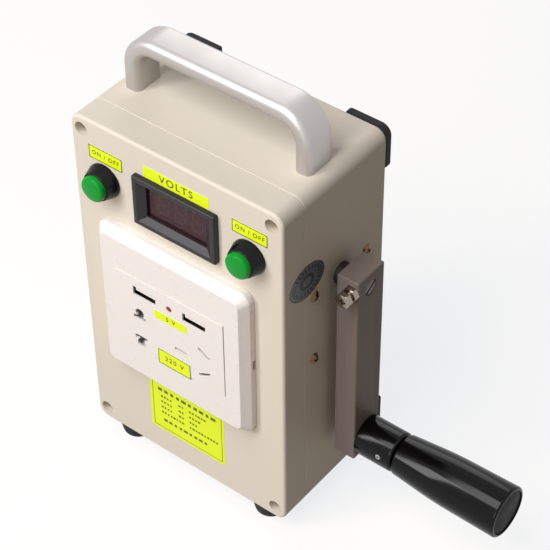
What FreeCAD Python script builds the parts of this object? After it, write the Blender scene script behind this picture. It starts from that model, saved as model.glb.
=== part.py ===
"""A hand crank generator in an enclosure with a socket plate, a voltmeter and two push buttons.

Units are millimetres. X runs to the crank side, Y runs from the front lid to the back and Z runs up.
The origin lies on the plane under the rubber feet, below the middle of the enclosure.
"""

import FreeCAD, Part
import math
import os
from FreeCAD import Vector

# Enclosure
CASE_WIDTH = 117.0
CASE_HEIGHT = 190.0
CASE_DEPTH = 73.0
LID_DEPTH = 14.8
WALL = 3.0
CORNER_RADIUS = 6.0
FRONT_EDGE_RADIUS = 1.5
REAR_EDGE_RADIUS = 2.0
LIP_HEIGHT = 2.0
LIP_THICKNESS = 1.4
LIP_GAP = 0.1
SEAL_THICKNESS = 1.0
SEAM_BEVEL = 0.3

# Lid screws, sunk deep in the corners
LID_SCREW_INSET_X = 6.0
LID_SCREW_INSET_Z = 7.0
LID_SCREW_RADIUS = 2.0
LID_SCREW_HEAD_RADIUS = 3.2
LID_SCREW_HEAD_HEIGHT = 2.6
COUNTERBORE_RADIUS = 3.5
COUNTERBORE_DEPTH = 9.0
LID_TOWER_RADIUS = 5.2
BASE_TOWER_RADIUS = 4.5
TOWER_TO_HANDLE_SCREW = 2.7
LID_SCREW_TIP_COVER = 4.0

# General clearances
SCREW_CLEARANCE = 0.03
RUNNING_CLEARANCE = 0.05
AXIAL_CLEARANCE = 0.3

# Feet and rear pads
FOOT_HEIGHT = 9.0
FOOT_TOP_RADIUS = 9.5
FOOT_BOTTOM_RADIUS = 7.6
FOOT_ROUND = 1.6
FOOT_INSET_X = 16.5
FOOT_FROM_FRONT = 10.2
FOOT_FROM_BACK = 11.0
FOOT_RECESS_RADIUS = 4.0
FOOT_RECESS_DEPTH = 5.0
FOOT_SCREW_RADIUS = 1.5
FOOT_SCREW_HEAD_RADIUS = 3.0
FOOT_SCREW_HEAD_HEIGHT = 2.0
FOOT_BOSS_RADIUS = 3.2
FOOT_BOSS_HEIGHT = 6.0
PAD_WIDTH = 22.0
PAD_HEIGHT = 21.0
PAD_THICKNESS = 4.5
PAD_INSET = 0.6
PAD_EDGE_BEVEL = 0.8

# Carry handle, a bent strap on top
HANDLE_SPAN = 102.4
HANDLE_RISE = 30.0
HANDLE_THICKNESS = 8.4
HANDLE_BREADTH = 17.0
HANDLE_OUTER_RADIUS = 17.0
HANDLE_EDGE_RADIUS = 3.0
HANDLE_OFFSET_Y = -1.0
HANDLE_SCREW_RADIUS = 2.5
HANDLE_SCREW_HEAD_RADIUS = 4.0
HANDLE_SCREW_HEAD_HEIGHT = 2.8
HANDLE_SCREW_BITE = 10.0

# Voltmeter
METER_X = 0.8
METER_BELOW_TOP = 29.5
METER_WIDTH = 46.4
METER_HEIGHT = 27.2
METER_PROUD = 2.9
METER_RIM = 2.4
LENS_WIDTH = 33.6
LENS_HEIGHT = 16.4
METER_SLEEVE_WALL = 1.4
METER_DEPTH = 17.0
METER_CUTOUT_GAP = 0.25
LENS_THICKNESS = 1.5
LENS_SET_BACK = 0.6
DISPLAY_THICKNESS = 10.0
METER_CLIP_HEIGHT = 1.2

# Push buttons
BUTTON_INSET = 18.0
BUTTON_BELOW_TOP = 30.0
BUTTON_BASE_RADIUS = 8.8
BUTTON_COLLAR_RADIUS = 7.1
BUTTON_PROUD = 6.5
BUTTON_CAP_PROUD = 9.8
BUTTON_CAP_RADIUS = 6.4
BUTTON_CAP_LENGTH = 7.6
BUTTON_CAP_WALL = 1.5
BUTTON_CAP_BEVEL = 1.0
BUTTON_TRAVEL = 2.5
BUTTON_STEM_RADIUS = 2.5
BUTTON_BARREL_RADIUS = 7.9
BUTTON_BARREL_LENGTH = 16.0
BUTTON_FLOOR_DEPTH = 1.5
BUTTON_FLOOR_THICKNESS = 1.5
BUTTON_CATCH_RADIUS = 3.4
BUTTON_CATCH_LENGTH = 2.0
BUTTON_CHAMBER_RADIUS = 5.5
BUTTON_HOLE_GAP = 0.1
BUTTON_NUT_ACROSS_FLATS = 19.0
BUTTON_NUT_THICKNESS = 3.0
SPRING_OUTER_RADIUS = 4.4
SPRING_INNER_RADIUS = 3.4
TERMINAL_WIDTH = 2.8
TERMINAL_THICKNESS = 0.8
TERMINAL_LENGTH = 7.0
TERMINAL_SPREAD = 3.5

# Socket plate and what is behind it
PLATE_SIZE = 86.0
PLATE_PROUD = 7.4
PLATE_CORNER_RADIUS = 5.0
PLATE_SIDE_HEIGHT = 3.4
PLATE_BEVEL = 3.6
PLATE_FACE_THICKNESS = 3.0
PLATE_SIDE_WALL = 3.4
PLATE_X = -0.3
PLATE_BELOW_TOP = 93.5
NOTCH_LENGTH = 6.0
NOTCH_WIDTH = 2.0
NOTCH_DEPTH = 1.6
INSERT_WIDTH = 62.0
INSERT_HEIGHT = 44.0
INSERT_GAP = 0.15
INSERT_PROUD = 0.4
OUTLET_FACE_THICKNESS = 1.2
FRAME_SIZE = 78.6
FRAME_THICKNESS = 2.2
SOCKET_BODY_WIDTH = 50.0
SOCKET_BODY_HEIGHT = 48.0
SOCKET_BODY_DEPTH = 22.0
SOCKET_CUTOUT_GAP = 1.0
SOCKET_SCREW_SPACING = 60.3
SOCKET_SCREW_RADIUS = 1.9
SOCKET_SCREW_HEAD_RADIUS = 3.4
SOCKET_SCREW_HEAD_HEIGHT = 1.6
SOCKET_SCREW_LENGTH = 9.0
USB_SPREAD = 14.4
USB_ABOVE = 14.3
USB_WIDTH = 13.1
USB_HEIGHT = 5.0
USB_SHELL_WALL = 0.5
USB_DEPTH = 11.0
USB_LIP = 0.8
USB_TONGUE_WIDTH = 11.4
USB_TONGUE_THICKNESS = 1.6
USB_TONGUE_RISE = 0.55
USB_TONGUE_SET_BACK = 0.9
LED_RADIUS = 1.5
LED_PROUD = 0.3
SLOT_THICKNESS = 1.6
TWO_PIN_X = -18.0
TWO_PIN_Z = -8.3
TWO_PIN_SLOT_SPACING = 12.7
TWO_PIN_ROUND_SPACING = 19.0
TWO_PIN_SLOT_WIDTH = 7.2
TWO_PIN_SLOT_HEIGHT = 2.4
TWO_PIN_ROUND_RADIUS = 2.5
THREE_PIN_X = 19.6
THREE_PIN_Z = -8.5
THREE_PIN_SPACING = 13.2
THREE_PIN_SLOT_LENGTH = 7.4
THREE_PIN_SLANT = 28.0
EARTH_SLOT_LENGTH = 6.8
EARTH_DISTANCE = 13.8
CONTACT_POCKET = 9.0
CONTACT_POCKET_DEPTH = 15.0
CONTACT_WIDTH = 6.0
CONTACT_LEAF = 0.7
CONTACT_SPREAD = 4.6

# Gearbox, held to the right wall by four screws round the crank shaft
SHAFT_FROM_FRONT = 40.4
SHAFT_BELOW_TOP = 58.5
WALL_SCREW_SPACING = 38.0
WALL_SCREWS_BELOW_TOP = 78.0
WALL_SCREW_RADIUS = 1.9
WALL_SCREW_HEAD_RADIUS = 2.9
WALL_SCREW_HEAD_HEIGHT = 1.8
OUTER_PLATE_THICKNESS = 3.0
INNER_PLATE_THICKNESS = 2.5
GEARBOX_DEPTH = 24.0
PLATE_MARGIN_FRONT = 30.0
PLATE_MARGIN_BACK = 28.0
PLATE_MARGIN_TOP = 28.0
PLATE_MARGIN_BOTTOM = 19.5
PILLAR_RADIUS = 3.4
PILLAR_INSET = 4.0
PILLAR_GAP = 0.6
SMALL_SCREW_RADIUS = 1.5
SMALL_SCREW_HEAD_RADIUS = 2.7
SMALL_SCREW_HEAD_HEIGHT = 1.8
SMALL_SCREW_BITE = 6.0

# Gears
PRESSURE_ANGLE = math.radians(20.0)
ADDENDUM = 1.0
DEDENDUM = 1.25
BACKLASH = 0.12
FLANK_STEPS = 2
WHEEL_TEETH = 48
PINION_TEETH = 16
FIRST_MODULE = 1.0
SECOND_MODULE = 0.8
SECOND_STAGE_LEAN = math.radians(20.6)
CRANK_GEAR_WIDTH = 6.0
IDLER_GEAR_WIDTH = 5.0
PINION_OVERHANG = 1.0
CRANK_GEAR_INSET = 6.0
IDLER_GEAR_INSET = 5.5
HUB_RADIUS = 7.0
IDLER_HUB_RADIUS = 5.4
IDLER_AXLE_RADIUS = 3.0

# Crank
SHAFT_RADIUS = 4.0
SHAFT_SET_BACK = 0.3
SHAFT_END_BEVEL = 0.4
SHAFT_SLOT_WIDTH = 1.0
SHAFT_SLOT_DEPTH = 1.5
SHAFT_SLOT_LEAN = 33.7
BUSH_WALL = 1.4
BUSH_FLANGE_WIDTH = 2.6
BUSH_FLANGE_THICKNESS = 1.2
BUSH_TO_ARM = 0.5
ARM_STAND_OFF = 5.1
ARM_THICKNESS = 11.5
ARM_WIDTH = 19.2
ARM_TOP = 8.7
ARM_BOTTOM = 9.7
ARM_EDGE = 0.5
CRANK_RADIUS = 93.5
CLAMP_OUTSET = 2.5
CLAMP_RISE = 2.3
CLAMP_BOLT_RADIUS = 2.0
CLAMP_ACROSS_FLATS = 7.0
CLAMP_NUT_THICKNESS = 2.6
CLAMP_GAP = 2.0
CLAMP_HEAD_HEIGHT = 2.8
CLAMP_SEAT_DEPTH = 1.2

# Grip
COLLAR_RADIUS = 10.05
COLLAR_LENGTH = 20.3
COLLAR_ROUND = 1.8
COLLAR_SCREW_RADIUS = 1.5
COLLAR_SCREW_SET_BACK = 0.25
COLLAR_SCREW_FROM_ARM = 13.4
COLLAR_SCREW_ANGLE = 172.0
GRIP_GAP = 0.5
GRIP_LENGTH = 57.7
GRIP_START_RADIUS = 10.2
GRIP_KNEE = 24.0
GRIP_KNEE_RADIUS = 12.35
GRIP_KNEE_BLEND = 8.0
GRIP_END_RADIUS = 12.9
GRIP_ROUND = 1.2
SPINDLE_RADIUS = 4.0
SPINDLE_THREAD_RADIUS = 3.4
SPINDLE_HEAD_RADIUS = 6.0
SPINDLE_HEAD_HEIGHT = 3.0
GRIP_CAP_RADIUS = 11.2
GRIP_CAP_THICKNESS = 2.4
GRIP_CAP_SET_BACK = 0.5

# Generator
CAN_RADIUS = 18.0
CAN_LENGTH = 56.0
CAN_WALL = 1.5
CAN_FRONT_WALL = 4.0
CAN_BOSS_RADIUS = 6.5
CAN_SCREW_CIRCLE = 12.5
END_CAP_THICKNESS = 3.0
MAGNET_THICKNESS = 2.6
MAGNET_LENGTH = 34.0
MAGNET_SPAN = 130.0
CORE_RADIUS = 12.8
CORE_LENGTH = 28.0
CORE_SLOTS = 5
CORE_SLOT_WIDTH = 2.2
CORE_SLOT_DEPTH = 5.0
ROTOR_SHAFT_RADIUS = 2.0
COMMUTATOR_RADIUS = 4.0
COMMUTATOR_LENGTH = 8.0
BRUSH_WIDTH = 3.0
BRUSH_LENGTH = 4.6

# Converter board behind the lower part of the lid
BOARD_WIDTH = 84.0
BOARD_HEIGHT = 38.0
BOARD_THICKNESS = 1.6
BOARD_ABOVE_FLOOR = 10.5
BOARD_STAND_OFF = 6.0
BOARD_HOLE_INSET = 4.0
BOARD_BOSS_RADIUS = 3.2
CAPACITOR_RADIUS = 8.0
CAPACITOR_LENGTH = 24.0
COIL_RADIUS = 9.0
COIL_BORE = 4.5
COIL_HEIGHT = 9.0
COMPONENT_GAP = 1.6
SINK_WIDTH = 26.0
SINK_HEIGHT = 24.0
SINK_DEPTH = 18.0
SINK_FINS = 5
SINK_FIN_THICKNESS = 1.6
SINK_BASE = 3.0

# Places that follow from the sizes above
X_AXIS = Vector(1, 0, 0)
Y_AXIS = Vector(0, 1, 0)
Z_AXIS = Vector(0, 0, 1)
FRONT = -CASE_DEPTH / 2
REAR = CASE_DEPTH / 2
SEAM = FRONT + LID_DEPTH
BOTTOM = FOOT_HEIGHT
TOP = FOOT_HEIGHT + CASE_HEIGHT
MIDDLE = FOOT_HEIGHT + CASE_HEIGHT / 2
SIDE = CASE_WIDTH / 2
LID_BACK = FRONT + WALL
LID_SCREW_SEAT = FRONT + COUNTERBORE_DEPTH
LID_SCREW_X = SIDE - LID_SCREW_INSET_X
LID_SCREW_ZS = (BOTTOM + LID_SCREW_INSET_Z, TOP - LID_SCREW_INSET_Z)
TOWER_END = HANDLE_OFFSET_Y - HANDLE_SCREW_HEAD_RADIUS - TOWER_TO_HANDLE_SCREW
LID_SCREW_TIP = TOWER_END - LID_SCREW_TIP_COVER
FOOT_X = SIDE - FOOT_INSET_X
FRONT_FOOT_Y = FRONT + FOOT_FROM_FRONT
REAR_FOOT_Y = REAR - FOOT_FROM_BACK
HANDLE_X = HANDLE_SPAN / 2 - HANDLE_THICKNESS / 2
METER_Z = TOP - METER_BELOW_TOP
BUTTON_X = SIDE - BUTTON_INSET
BUTTON_Z = TOP - BUTTON_BELOW_TOP
PLATE_Z = TOP - PLATE_BELOW_TOP
PLATE_FRONT = FRONT - PLATE_PROUD
INSERT_FRONT = PLATE_FRONT - INSERT_PROUD
FRAME_FRONT = FRONT - FRAME_THICKNESS
SHAFT_Y = FRONT + SHAFT_FROM_FRONT
SHAFT_Z = TOP - SHAFT_BELOW_TOP
WALL_SCREWS_Z = TOP - WALL_SCREWS_BELOW_TOP
WALL_INNER = SIDE - WALL
BUSH_RADIUS = SHAFT_RADIUS + BUSH_WALL
BUSH_FLANGE_RADIUS = BUSH_RADIUS + BUSH_FLANGE_WIDTH
OUTER_PLATE_X = WALL_INNER - OUTER_PLATE_THICKNESS
INNER_PLATE_X = OUTER_PLATE_X - GEARBOX_DEPTH
CAN_FACE_X = INNER_PLATE_X - INNER_PLATE_THICKNESS
FIRST_CENTRES = FIRST_MODULE * (WHEEL_TEETH + PINION_TEETH) / 2
SECOND_CENTRES = SECOND_MODULE * (WHEEL_TEETH + PINION_TEETH) / 2
IDLER_Y = SHAFT_Y
IDLER_Z = SHAFT_Z - FIRST_CENTRES
ROTOR_Y = IDLER_Y + SECOND_CENTRES * math.sin(SECOND_STAGE_LEAN)
ROTOR_Z = IDLER_Z - SECOND_CENTRES * math.cos(SECOND_STAGE_LEAN)
CRANK_GEAR_X = OUTER_PLATE_X - CRANK_GEAR_INSET - CRANK_GEAR_WIDTH / 2
IDLER_GEAR_X = INNER_PLATE_X + IDLER_GEAR_INSET
ARM_INNER = SIDE + ARM_STAND_OFF
ARM_OUTER = ARM_INNER + ARM_THICKNESS
ARM_FACE = SHAFT_Y - ARM_WIDTH / 2
CLAMP_X = (ARM_INNER + ARM_OUTER) / 2 + CLAMP_OUTSET
CLAMP_Z = SHAFT_Z + CLAMP_RISE
CLAMP_TIP = SHAFT_Y - SHAFT_RADIUS + CLAMP_SEAT_DEPTH
GRIP_Z = SHAFT_Z - CRANK_RADIUS
COLLAR_END = ARM_OUTER + COLLAR_LENGTH
GRIP_START = COLLAR_END + GRIP_GAP
GRIP_END = GRIP_START + GRIP_LENGTH
GRIP_CAP_X = GRIP_END - GRIP_CAP_SET_BACK
SPINDLE_HEAD_X = GRIP_CAP_X - GRIP_CAP_THICKNESS - AXIAL_CLEARANCE - SPINDLE_HEAD_HEIGHT
BOARD_BACK = REAR - WALL - BOARD_STAND_OFF
BOARD_FRONT = BOARD_BACK - BOARD_THICKNESS
BOARD_BOTTOM = BOTTOM + WALL + BOARD_ABOVE_FLOOR


def box(x0, x1, y0, y1, z0, z1):
    """Return a block between two corners."""
    return Part.makeBox(x1 - x0, y1 - y0, z1 - z0, Vector(x0, y0, z0))


def rod(radius, start, end):
    """Return a round bar between two points."""
    run = end - start
    return Part.makeCylinder(radius, run.Length, start, run)


def tube(outer, inner, start, end):
    """Return a round bar with a bore, between two points."""
    return rod(outer, start, end).cut(rod(inner, start, end))


def turned(outline, origin, axis):
    """Return a turned solid, from (distance along the axis, radius) corners."""
    corners = [Vector(radius, 0, along) for along, radius in outline]
    solid = Part.Face(Part.makePolygon(corners + corners[:1])).revolve(Vector(), Z_AXIS, 360)
    solid.Placement = FreeCAD.Placement(origin, FreeCAD.Rotation(Z_AXIS, axis))
    return solid


def quarter(along, radius, size, start, stop, steps=3):
    """Return points of an arc in an outline, between two angles in degrees."""
    points = []
    for step in range(steps + 1):
        angle = math.radians(start + (stop - start) * step / steps)
        points.append((along + size * math.cos(angle), radius + size * math.sin(angle)))
    return points


def towards(point, target, distance):
    """Return the point of an outline at a distance from one point towards another."""
    share = distance / math.dist(point, target)
    return (point[0] + share * (target[0] - point[0]), point[1] + share * (target[1] - point[1]))


def eased(before, corner, after, reach, steps=4):
    """Return points that round off one corner of an outline, over a reach on either side."""
    start = towards(corner, before, reach)
    end = towards(corner, after, reach)
    points = []
    for step in range(steps + 1):
        share = step / steps
        middle = 2 * share * (1 - share)
        points.append(((1 - share) ** 2 * start[0] + middle * corner[0] + share ** 2 * end[0],
                       (1 - share) ** 2 * start[1] + middle * corner[1] + share ** 2 * end[1]))
    return points


def upright(edge, axis):
    """Tell whether a straight edge runs along an axis."""
    straight = isinstance(edge.Curve, Part.Line)
    return straight and abs(abs(edge.tangentAt(edge.FirstParameter).dot(axis)) - 1) < 1e-6


def slab(width, height, radius, x, z, y0, y1):
    """Return a plate with rounded corners that faces along Y."""
    block = box(x - width / 2, x + width / 2, y0, y1, z - height / 2, z + height / 2)
    return block.makeFillet(radius, [edge for edge in block.Edges if upright(edge, Y_AXIS)])


def rim_edges(solid, y):
    """Return the edges of a solid that lie at one depth."""
    return [edge for edge in solid.Edges
            if abs(edge.BoundBox.YMin - y) < 1e-4 and abs(edge.BoundBox.YMax - y) < 1e-4]


def hexagon(across_flats, bore, start, end):
    """Return a hexagonal bar with an optional bore."""
    run = end - start
    corner = across_flats / math.sqrt(3)
    points = []
    for step in range(7):
        angle = math.radians(60 * step)
        points.append(Vector(corner * math.cos(angle), corner * math.sin(angle), 0))
    bar = Part.Face(Part.makePolygon(points)).extrude(Vector(0, 0, run.Length))
    if bore:
        bar = bar.cut(rod(bore, Vector(), Vector(0, 0, run.Length)))
    bar.Placement = FreeCAD.Placement(start, FreeCAD.Rotation(Z_AXIS, run))
    return bar


def screw(shank, head, head_height, length, seat, towards_head):
    """Return a screw whose head bears on a seat and whose shank runs the other way."""
    outline = [(-length, 0), (-length, shank), (0, shank), (0, head), (head_height, head), (head_height, 0)]
    return turned(outline, seat, towards_head)


def fused(solids):
    """Return one solid from several that touch."""
    return solids[0].fuse(solids[1:]).removeSplitter()


# Enclosure

def lip_ring(gap, depth):
    """Return the ring that the lip of the base fills in front of the seam."""
    inner_width = CASE_WIDTH - 2 * WALL
    inner_height = CASE_HEIGHT - 2 * WALL
    inner_radius = CORNER_RADIUS - WALL
    grown = 2 * (LIP_THICKNESS + gap)
    outer = slab(inner_width + grown, inner_height + grown, inner_radius + LIP_THICKNESS + gap,
                 0, MIDDLE, SEAM - depth, SEAM)
    inner = slab(inner_width, inner_height, inner_radius, 0, MIDDLE, SEAM - depth, SEAM)
    return outer.cut(inner)


def lid_screw_places():
    """Return the four corners that hold the lid, as (x, z)."""
    return [(x, z) for x in (-LID_SCREW_X, LID_SCREW_X) for z in LID_SCREW_ZS]


def foot_pair(y):
    """Return the two feet of one row, as (x, y)."""
    return [(-FOOT_X, y), (FOOT_X, y)]


def foot_boss(x, y):
    """Return the boss inside the enclosure that takes a foot's screw."""
    floor = BOTTOM + WALL
    return rod(FOOT_BOSS_RADIUS, Vector(x, y, floor), Vector(x, y, floor + FOOT_BOSS_HEIGHT))


def foot_hole(x, y):
    """Return the hole for a foot's screw, through the wall and its boss."""
    top = BOTTOM + WALL + FOOT_BOSS_HEIGHT
    return rod(FOOT_SCREW_RADIUS + SCREW_CLEARANCE, Vector(x, y, BOTTOM), Vector(x, y, top))


def board_hole_places():
    """Return the four corners of the converter board, as (x, z)."""
    reach = BOARD_WIDTH / 2 - BOARD_HOLE_INSET
    low = BOARD_BOTTOM + BOARD_HOLE_INSET
    high = BOARD_BOTTOM + BOARD_HEIGHT - BOARD_HOLE_INSET
    return [(x, z) for x in (-reach, reach) for z in (low, high)]


def wall_screw_places():
    """Return the four screws round the crank shaft, as (y, z)."""
    half = WALL_SCREW_SPACING / 2
    return [(SHAFT_Y + dy, WALL_SCREWS_Z + dz) for dy in (-half, half) for dz in (-half, half)]


def base_shell():
    """Return the deep rear tray with its lip, screw towers and bosses."""
    outer = slab(CASE_WIDTH, CASE_HEIGHT, CORNER_RADIUS, 0, MIDDLE, SEAM, REAR)
    outer = outer.makeFillet(REAR_EDGE_RADIUS, rim_edges(outer, REAR))
    outer = outer.makeChamfer(SEAM_BEVEL, rim_edges(outer, SEAM))
    inner = slab(CASE_WIDTH - 2 * WALL, CASE_HEIGHT - 2 * WALL, CORNER_RADIUS - WALL,
                 0, MIDDLE, SEAM, REAR - WALL)
    towers = []
    for x, z in lid_screw_places():
        towers.append(rod(BASE_TOWER_RADIUS, Vector(x, SEAM, z), Vector(x, TOWER_END, z)))
    towers += [foot_boss(x, y) for x, y in foot_pair(REAR_FOOT_Y)]
    for x, z in board_hole_places():
        towers.append(rod(BOARD_BOSS_RADIUS, Vector(x, BOARD_BACK, z), Vector(x, REAR - WALL, z)))
    shell = outer.cut(inner).fuse([tower.common(outer) for tower in towers])
    shell = shell.fuse(lip_ring(0, LIP_HEIGHT))
    holes = []
    for x, z in lid_screw_places():
        holes.append(rod(LID_SCREW_RADIUS + SCREW_CLEARANCE, Vector(x, SEAM, z),
                         Vector(x, LID_SCREW_TIP + 1, z)))
    holes += [foot_hole(x, y) for x, y in foot_pair(REAR_FOOT_Y)]
    for y, z in wall_screw_places():
        holes.append(rod(WALL_SCREW_RADIUS + SCREW_CLEARANCE, Vector(WALL_INNER, y, z), Vector(SIDE, y, z)))
    for x in (-HANDLE_X, HANDLE_X):
        low = Vector(x, HANDLE_OFFSET_Y, TOP - WALL)
        holes.append(rod(HANDLE_SCREW_RADIUS + SCREW_CLEARANCE, low, Vector(x, HANDLE_OFFSET_Y, TOP)))
    bush_hole = rod(BUSH_RADIUS + SCREW_CLEARANCE, Vector(WALL_INNER, SHAFT_Y, SHAFT_Z),
                    Vector(SIDE, SHAFT_Y, SHAFT_Z))
    return shell.cut(holes + [bush_hole]).removeSplitter()


def front_lid():
    """Return the front lid with its rebate, towers and openings."""
    outer = slab(CASE_WIDTH, CASE_HEIGHT, CORNER_RADIUS, 0, MIDDLE, FRONT, SEAM)
    outer = outer.makeFillet(FRONT_EDGE_RADIUS, rim_edges(outer, FRONT))
    outer = outer.makeChamfer(SEAM_BEVEL, rim_edges(outer, SEAM))
    inner = slab(CASE_WIDTH - 2 * WALL, CASE_HEIGHT - 2 * WALL, CORNER_RADIUS - WALL,
                 0, MIDDLE, LID_BACK, SEAM)
    towers = [rod(LID_TOWER_RADIUS, Vector(x, LID_BACK, z), Vector(x, SEAM, z)).common(outer)
              for x, z in lid_screw_places()]
    bosses = [foot_boss(x, y) for x, y in foot_pair(FRONT_FOOT_Y)]
    lid = outer.cut(inner).fuse(towers + bosses)
    cuts = [lip_ring(LIP_GAP, LIP_HEIGHT + SEAL_THICKNESS + LIP_GAP)]
    cuts += [foot_hole(x, y) for x, y in foot_pair(FRONT_FOOT_Y)]
    for x, z in lid_screw_places():
        cuts.append(rod(COUNTERBORE_RADIUS, Vector(x, FRONT, z), Vector(x, LID_SCREW_SEAT, z)))
        cuts.append(rod(LID_SCREW_RADIUS + RUNNING_CLEARANCE, Vector(x, FRONT, z), Vector(x, SEAM, z)))
    sleeve = METER_WIDTH - 2 * METER_RIM + METER_CUTOUT_GAP
    sleeve_height = METER_HEIGHT - 2 * METER_RIM + METER_CUTOUT_GAP
    cuts.append(box(METER_X - sleeve / 2, METER_X + sleeve / 2, FRONT, LID_BACK,
                    METER_Z - sleeve_height / 2, METER_Z + sleeve_height / 2))
    for x in (-BUTTON_X, BUTTON_X):
        cuts.append(rod(BUTTON_BARREL_RADIUS + BUTTON_HOLE_GAP, Vector(x, FRONT, BUTTON_Z),
                        Vector(x, LID_BACK, BUTTON_Z)))
    half_width = SOCKET_BODY_WIDTH / 2 + SOCKET_CUTOUT_GAP
    half_height = SOCKET_BODY_HEIGHT / 2 + SOCKET_CUTOUT_GAP
    cuts.append(box(PLATE_X - half_width, PLATE_X + half_width, FRONT, LID_BACK,
                    PLATE_Z - half_height, PLATE_Z + half_height))
    for z in socket_screw_heights():
        cuts.append(rod(SOCKET_SCREW_RADIUS + SCREW_CLEARANCE, Vector(PLATE_X, FRONT, z),
                        Vector(PLATE_X, LID_BACK, z)))
    return lid.cut(cuts).removeSplitter()


def lid_seal():
    """Return the rubber ring between the lip and the lid."""
    ring = lip_ring(0, LIP_HEIGHT + SEAL_THICKNESS)
    return ring.cut(lip_ring(1, LIP_HEIGHT))


def lid_screws():
    """Return the four screws that hold the lid."""
    length = LID_SCREW_TIP - LID_SCREW_SEAT
    return [screw(LID_SCREW_RADIUS, LID_SCREW_HEAD_RADIUS, LID_SCREW_HEAD_HEIGHT, length,
                  Vector(x, LID_SCREW_SEAT, z), -Y_AXIS) for x, z in lid_screw_places()]


def rubber_feet():
    """Return the four tapered feet with their screw recesses."""
    outline = [(0, FOOT_RECESS_RADIUS)]
    outline += quarter(FOOT_ROUND, FOOT_BOTTOM_RADIUS - FOOT_ROUND, FOOT_ROUND, 180, 90)
    outline += [(FOOT_HEIGHT, FOOT_TOP_RADIUS), (FOOT_HEIGHT, FOOT_SCREW_RADIUS + SCREW_CLEARANCE),
                (FOOT_RECESS_DEPTH, FOOT_SCREW_RADIUS + SCREW_CLEARANCE),
                (FOOT_RECESS_DEPTH, FOOT_RECESS_RADIUS)]
    return [turned(outline, Vector(x, y, 0), Z_AXIS)
            for x, y in foot_pair(FRONT_FOOT_Y) + foot_pair(REAR_FOOT_Y)]


def foot_screws():
    """Return the four screws that hold the feet."""
    length = BOTTOM + WALL + FOOT_BOSS_HEIGHT - FOOT_RECESS_DEPTH - 1
    return [screw(FOOT_SCREW_RADIUS, FOOT_SCREW_HEAD_RADIUS, FOOT_SCREW_HEAD_HEIGHT, length,
                  Vector(x, y, FOOT_RECESS_DEPTH), -Z_AXIS)
            for x, y in foot_pair(FRONT_FOOT_Y) + foot_pair(REAR_FOOT_Y)]


def rear_pads():
    """Return the four rubber pads on the corners of the back."""
    pads = []
    radius = CORNER_RADIUS - PAD_INSET
    reach = SIDE - PAD_INSET
    for side in (-1, 1):
        for low in (True, False):
            x = side * (reach - PAD_WIDTH / 2)
            if low:
                z = BOTTOM + PAD_INSET + PAD_HEIGHT / 2
                corner = BOTTOM + PAD_INSET
            else:
                z = TOP - PAD_INSET - PAD_HEIGHT / 2
                corner = TOP - PAD_INSET
            pad = box(x - PAD_WIDTH / 2, x + PAD_WIDTH / 2, REAR, REAR + PAD_THICKNESS,
                      z - PAD_HEIGHT / 2, z + PAD_HEIGHT / 2)
            outer_edge = [edge for edge in pad.Edges if upright(edge, Y_AXIS)
                          and abs(edge.CenterOfMass.x - side * reach) < 1e-4
                          and abs(edge.CenterOfMass.z - corner) < 1e-4]
            pad = pad.makeFillet(radius, outer_edge)
            pads.append(pad.makeChamfer(PAD_EDGE_BEVEL, rim_edges(pad, REAR + PAD_THICKNESS)))
    return pads


def carry_handle():
    """Return the bent metal strap that the generator is carried by."""
    y0 = HANDLE_OFFSET_Y - HANDLE_BREADTH / 2
    y1 = HANDLE_OFFSET_Y + HANDLE_BREADTH / 2
    outer = box(-HANDLE_SPAN / 2, HANDLE_SPAN / 2, y0, y1, TOP, TOP + HANDLE_RISE)
    outer = outer.makeFillet(HANDLE_OUTER_RADIUS, top_corner_edges(outer, TOP + HANDLE_RISE))
    reach = HANDLE_SPAN / 2 - HANDLE_THICKNESS
    under = TOP + HANDLE_RISE - HANDLE_THICKNESS
    inner = box(-reach, reach, y0, y1, TOP, under)
    inner = inner.makeFillet(HANDLE_OUTER_RADIUS - HANDLE_THICKNESS, top_corner_edges(inner, under))
    strap = outer.cut(inner)
    long_edges = [edge for y in (y0, y1) for edge in rim_edges(strap, y)
                  if edge.BoundBox.ZMax > TOP + 1e-4]
    strap = strap.makeFillet(HANDLE_EDGE_RADIUS, long_edges)
    holes = [rod(HANDLE_SCREW_RADIUS + SCREW_CLEARANCE, Vector(x, HANDLE_OFFSET_Y, TOP),
                 Vector(x, HANDLE_OFFSET_Y, TOP + HANDLE_SCREW_BITE + 1)) for x in (-HANDLE_X, HANDLE_X)]
    return strap.cut(holes)


def top_corner_edges(block, height):
    """Return the edges of a block along Y that lie at one height."""
    return [edge for edge in block.Edges
            if upright(edge, Y_AXIS) and abs(edge.CenterOfMass.z - height) < 1e-4]


def handle_screws():
    """Return the two screws that hold the handle from inside."""
    return [screw(HANDLE_SCREW_RADIUS, HANDLE_SCREW_HEAD_RADIUS, HANDLE_SCREW_HEAD_HEIGHT,
                  WALL + HANDLE_SCREW_BITE, Vector(x, HANDLE_OFFSET_Y, TOP - WALL), -Z_AXIS)
            for x in (-HANDLE_X, HANDLE_X)]


# Voltmeter

def meter_frame(width, height, y):
    """Return a closed rectangle round the meter's middle, at one depth."""
    x0 = METER_X - width / 2
    x1 = METER_X + width / 2
    z0 = METER_Z - height / 2
    z1 = METER_Z + height / 2
    return Part.makePolygon([Vector(x0, y, z0), Vector(x1, y, z0), Vector(x1, y, z1),
                             Vector(x0, y, z1), Vector(x0, y, z0)])


def meter_block(width, height, y0, y1):
    """Return a block round the meter's middle, between two depths."""
    return box(METER_X - width / 2, METER_X + width / 2, y0, y1, METER_Z - height / 2, METER_Z + height / 2)


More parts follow.
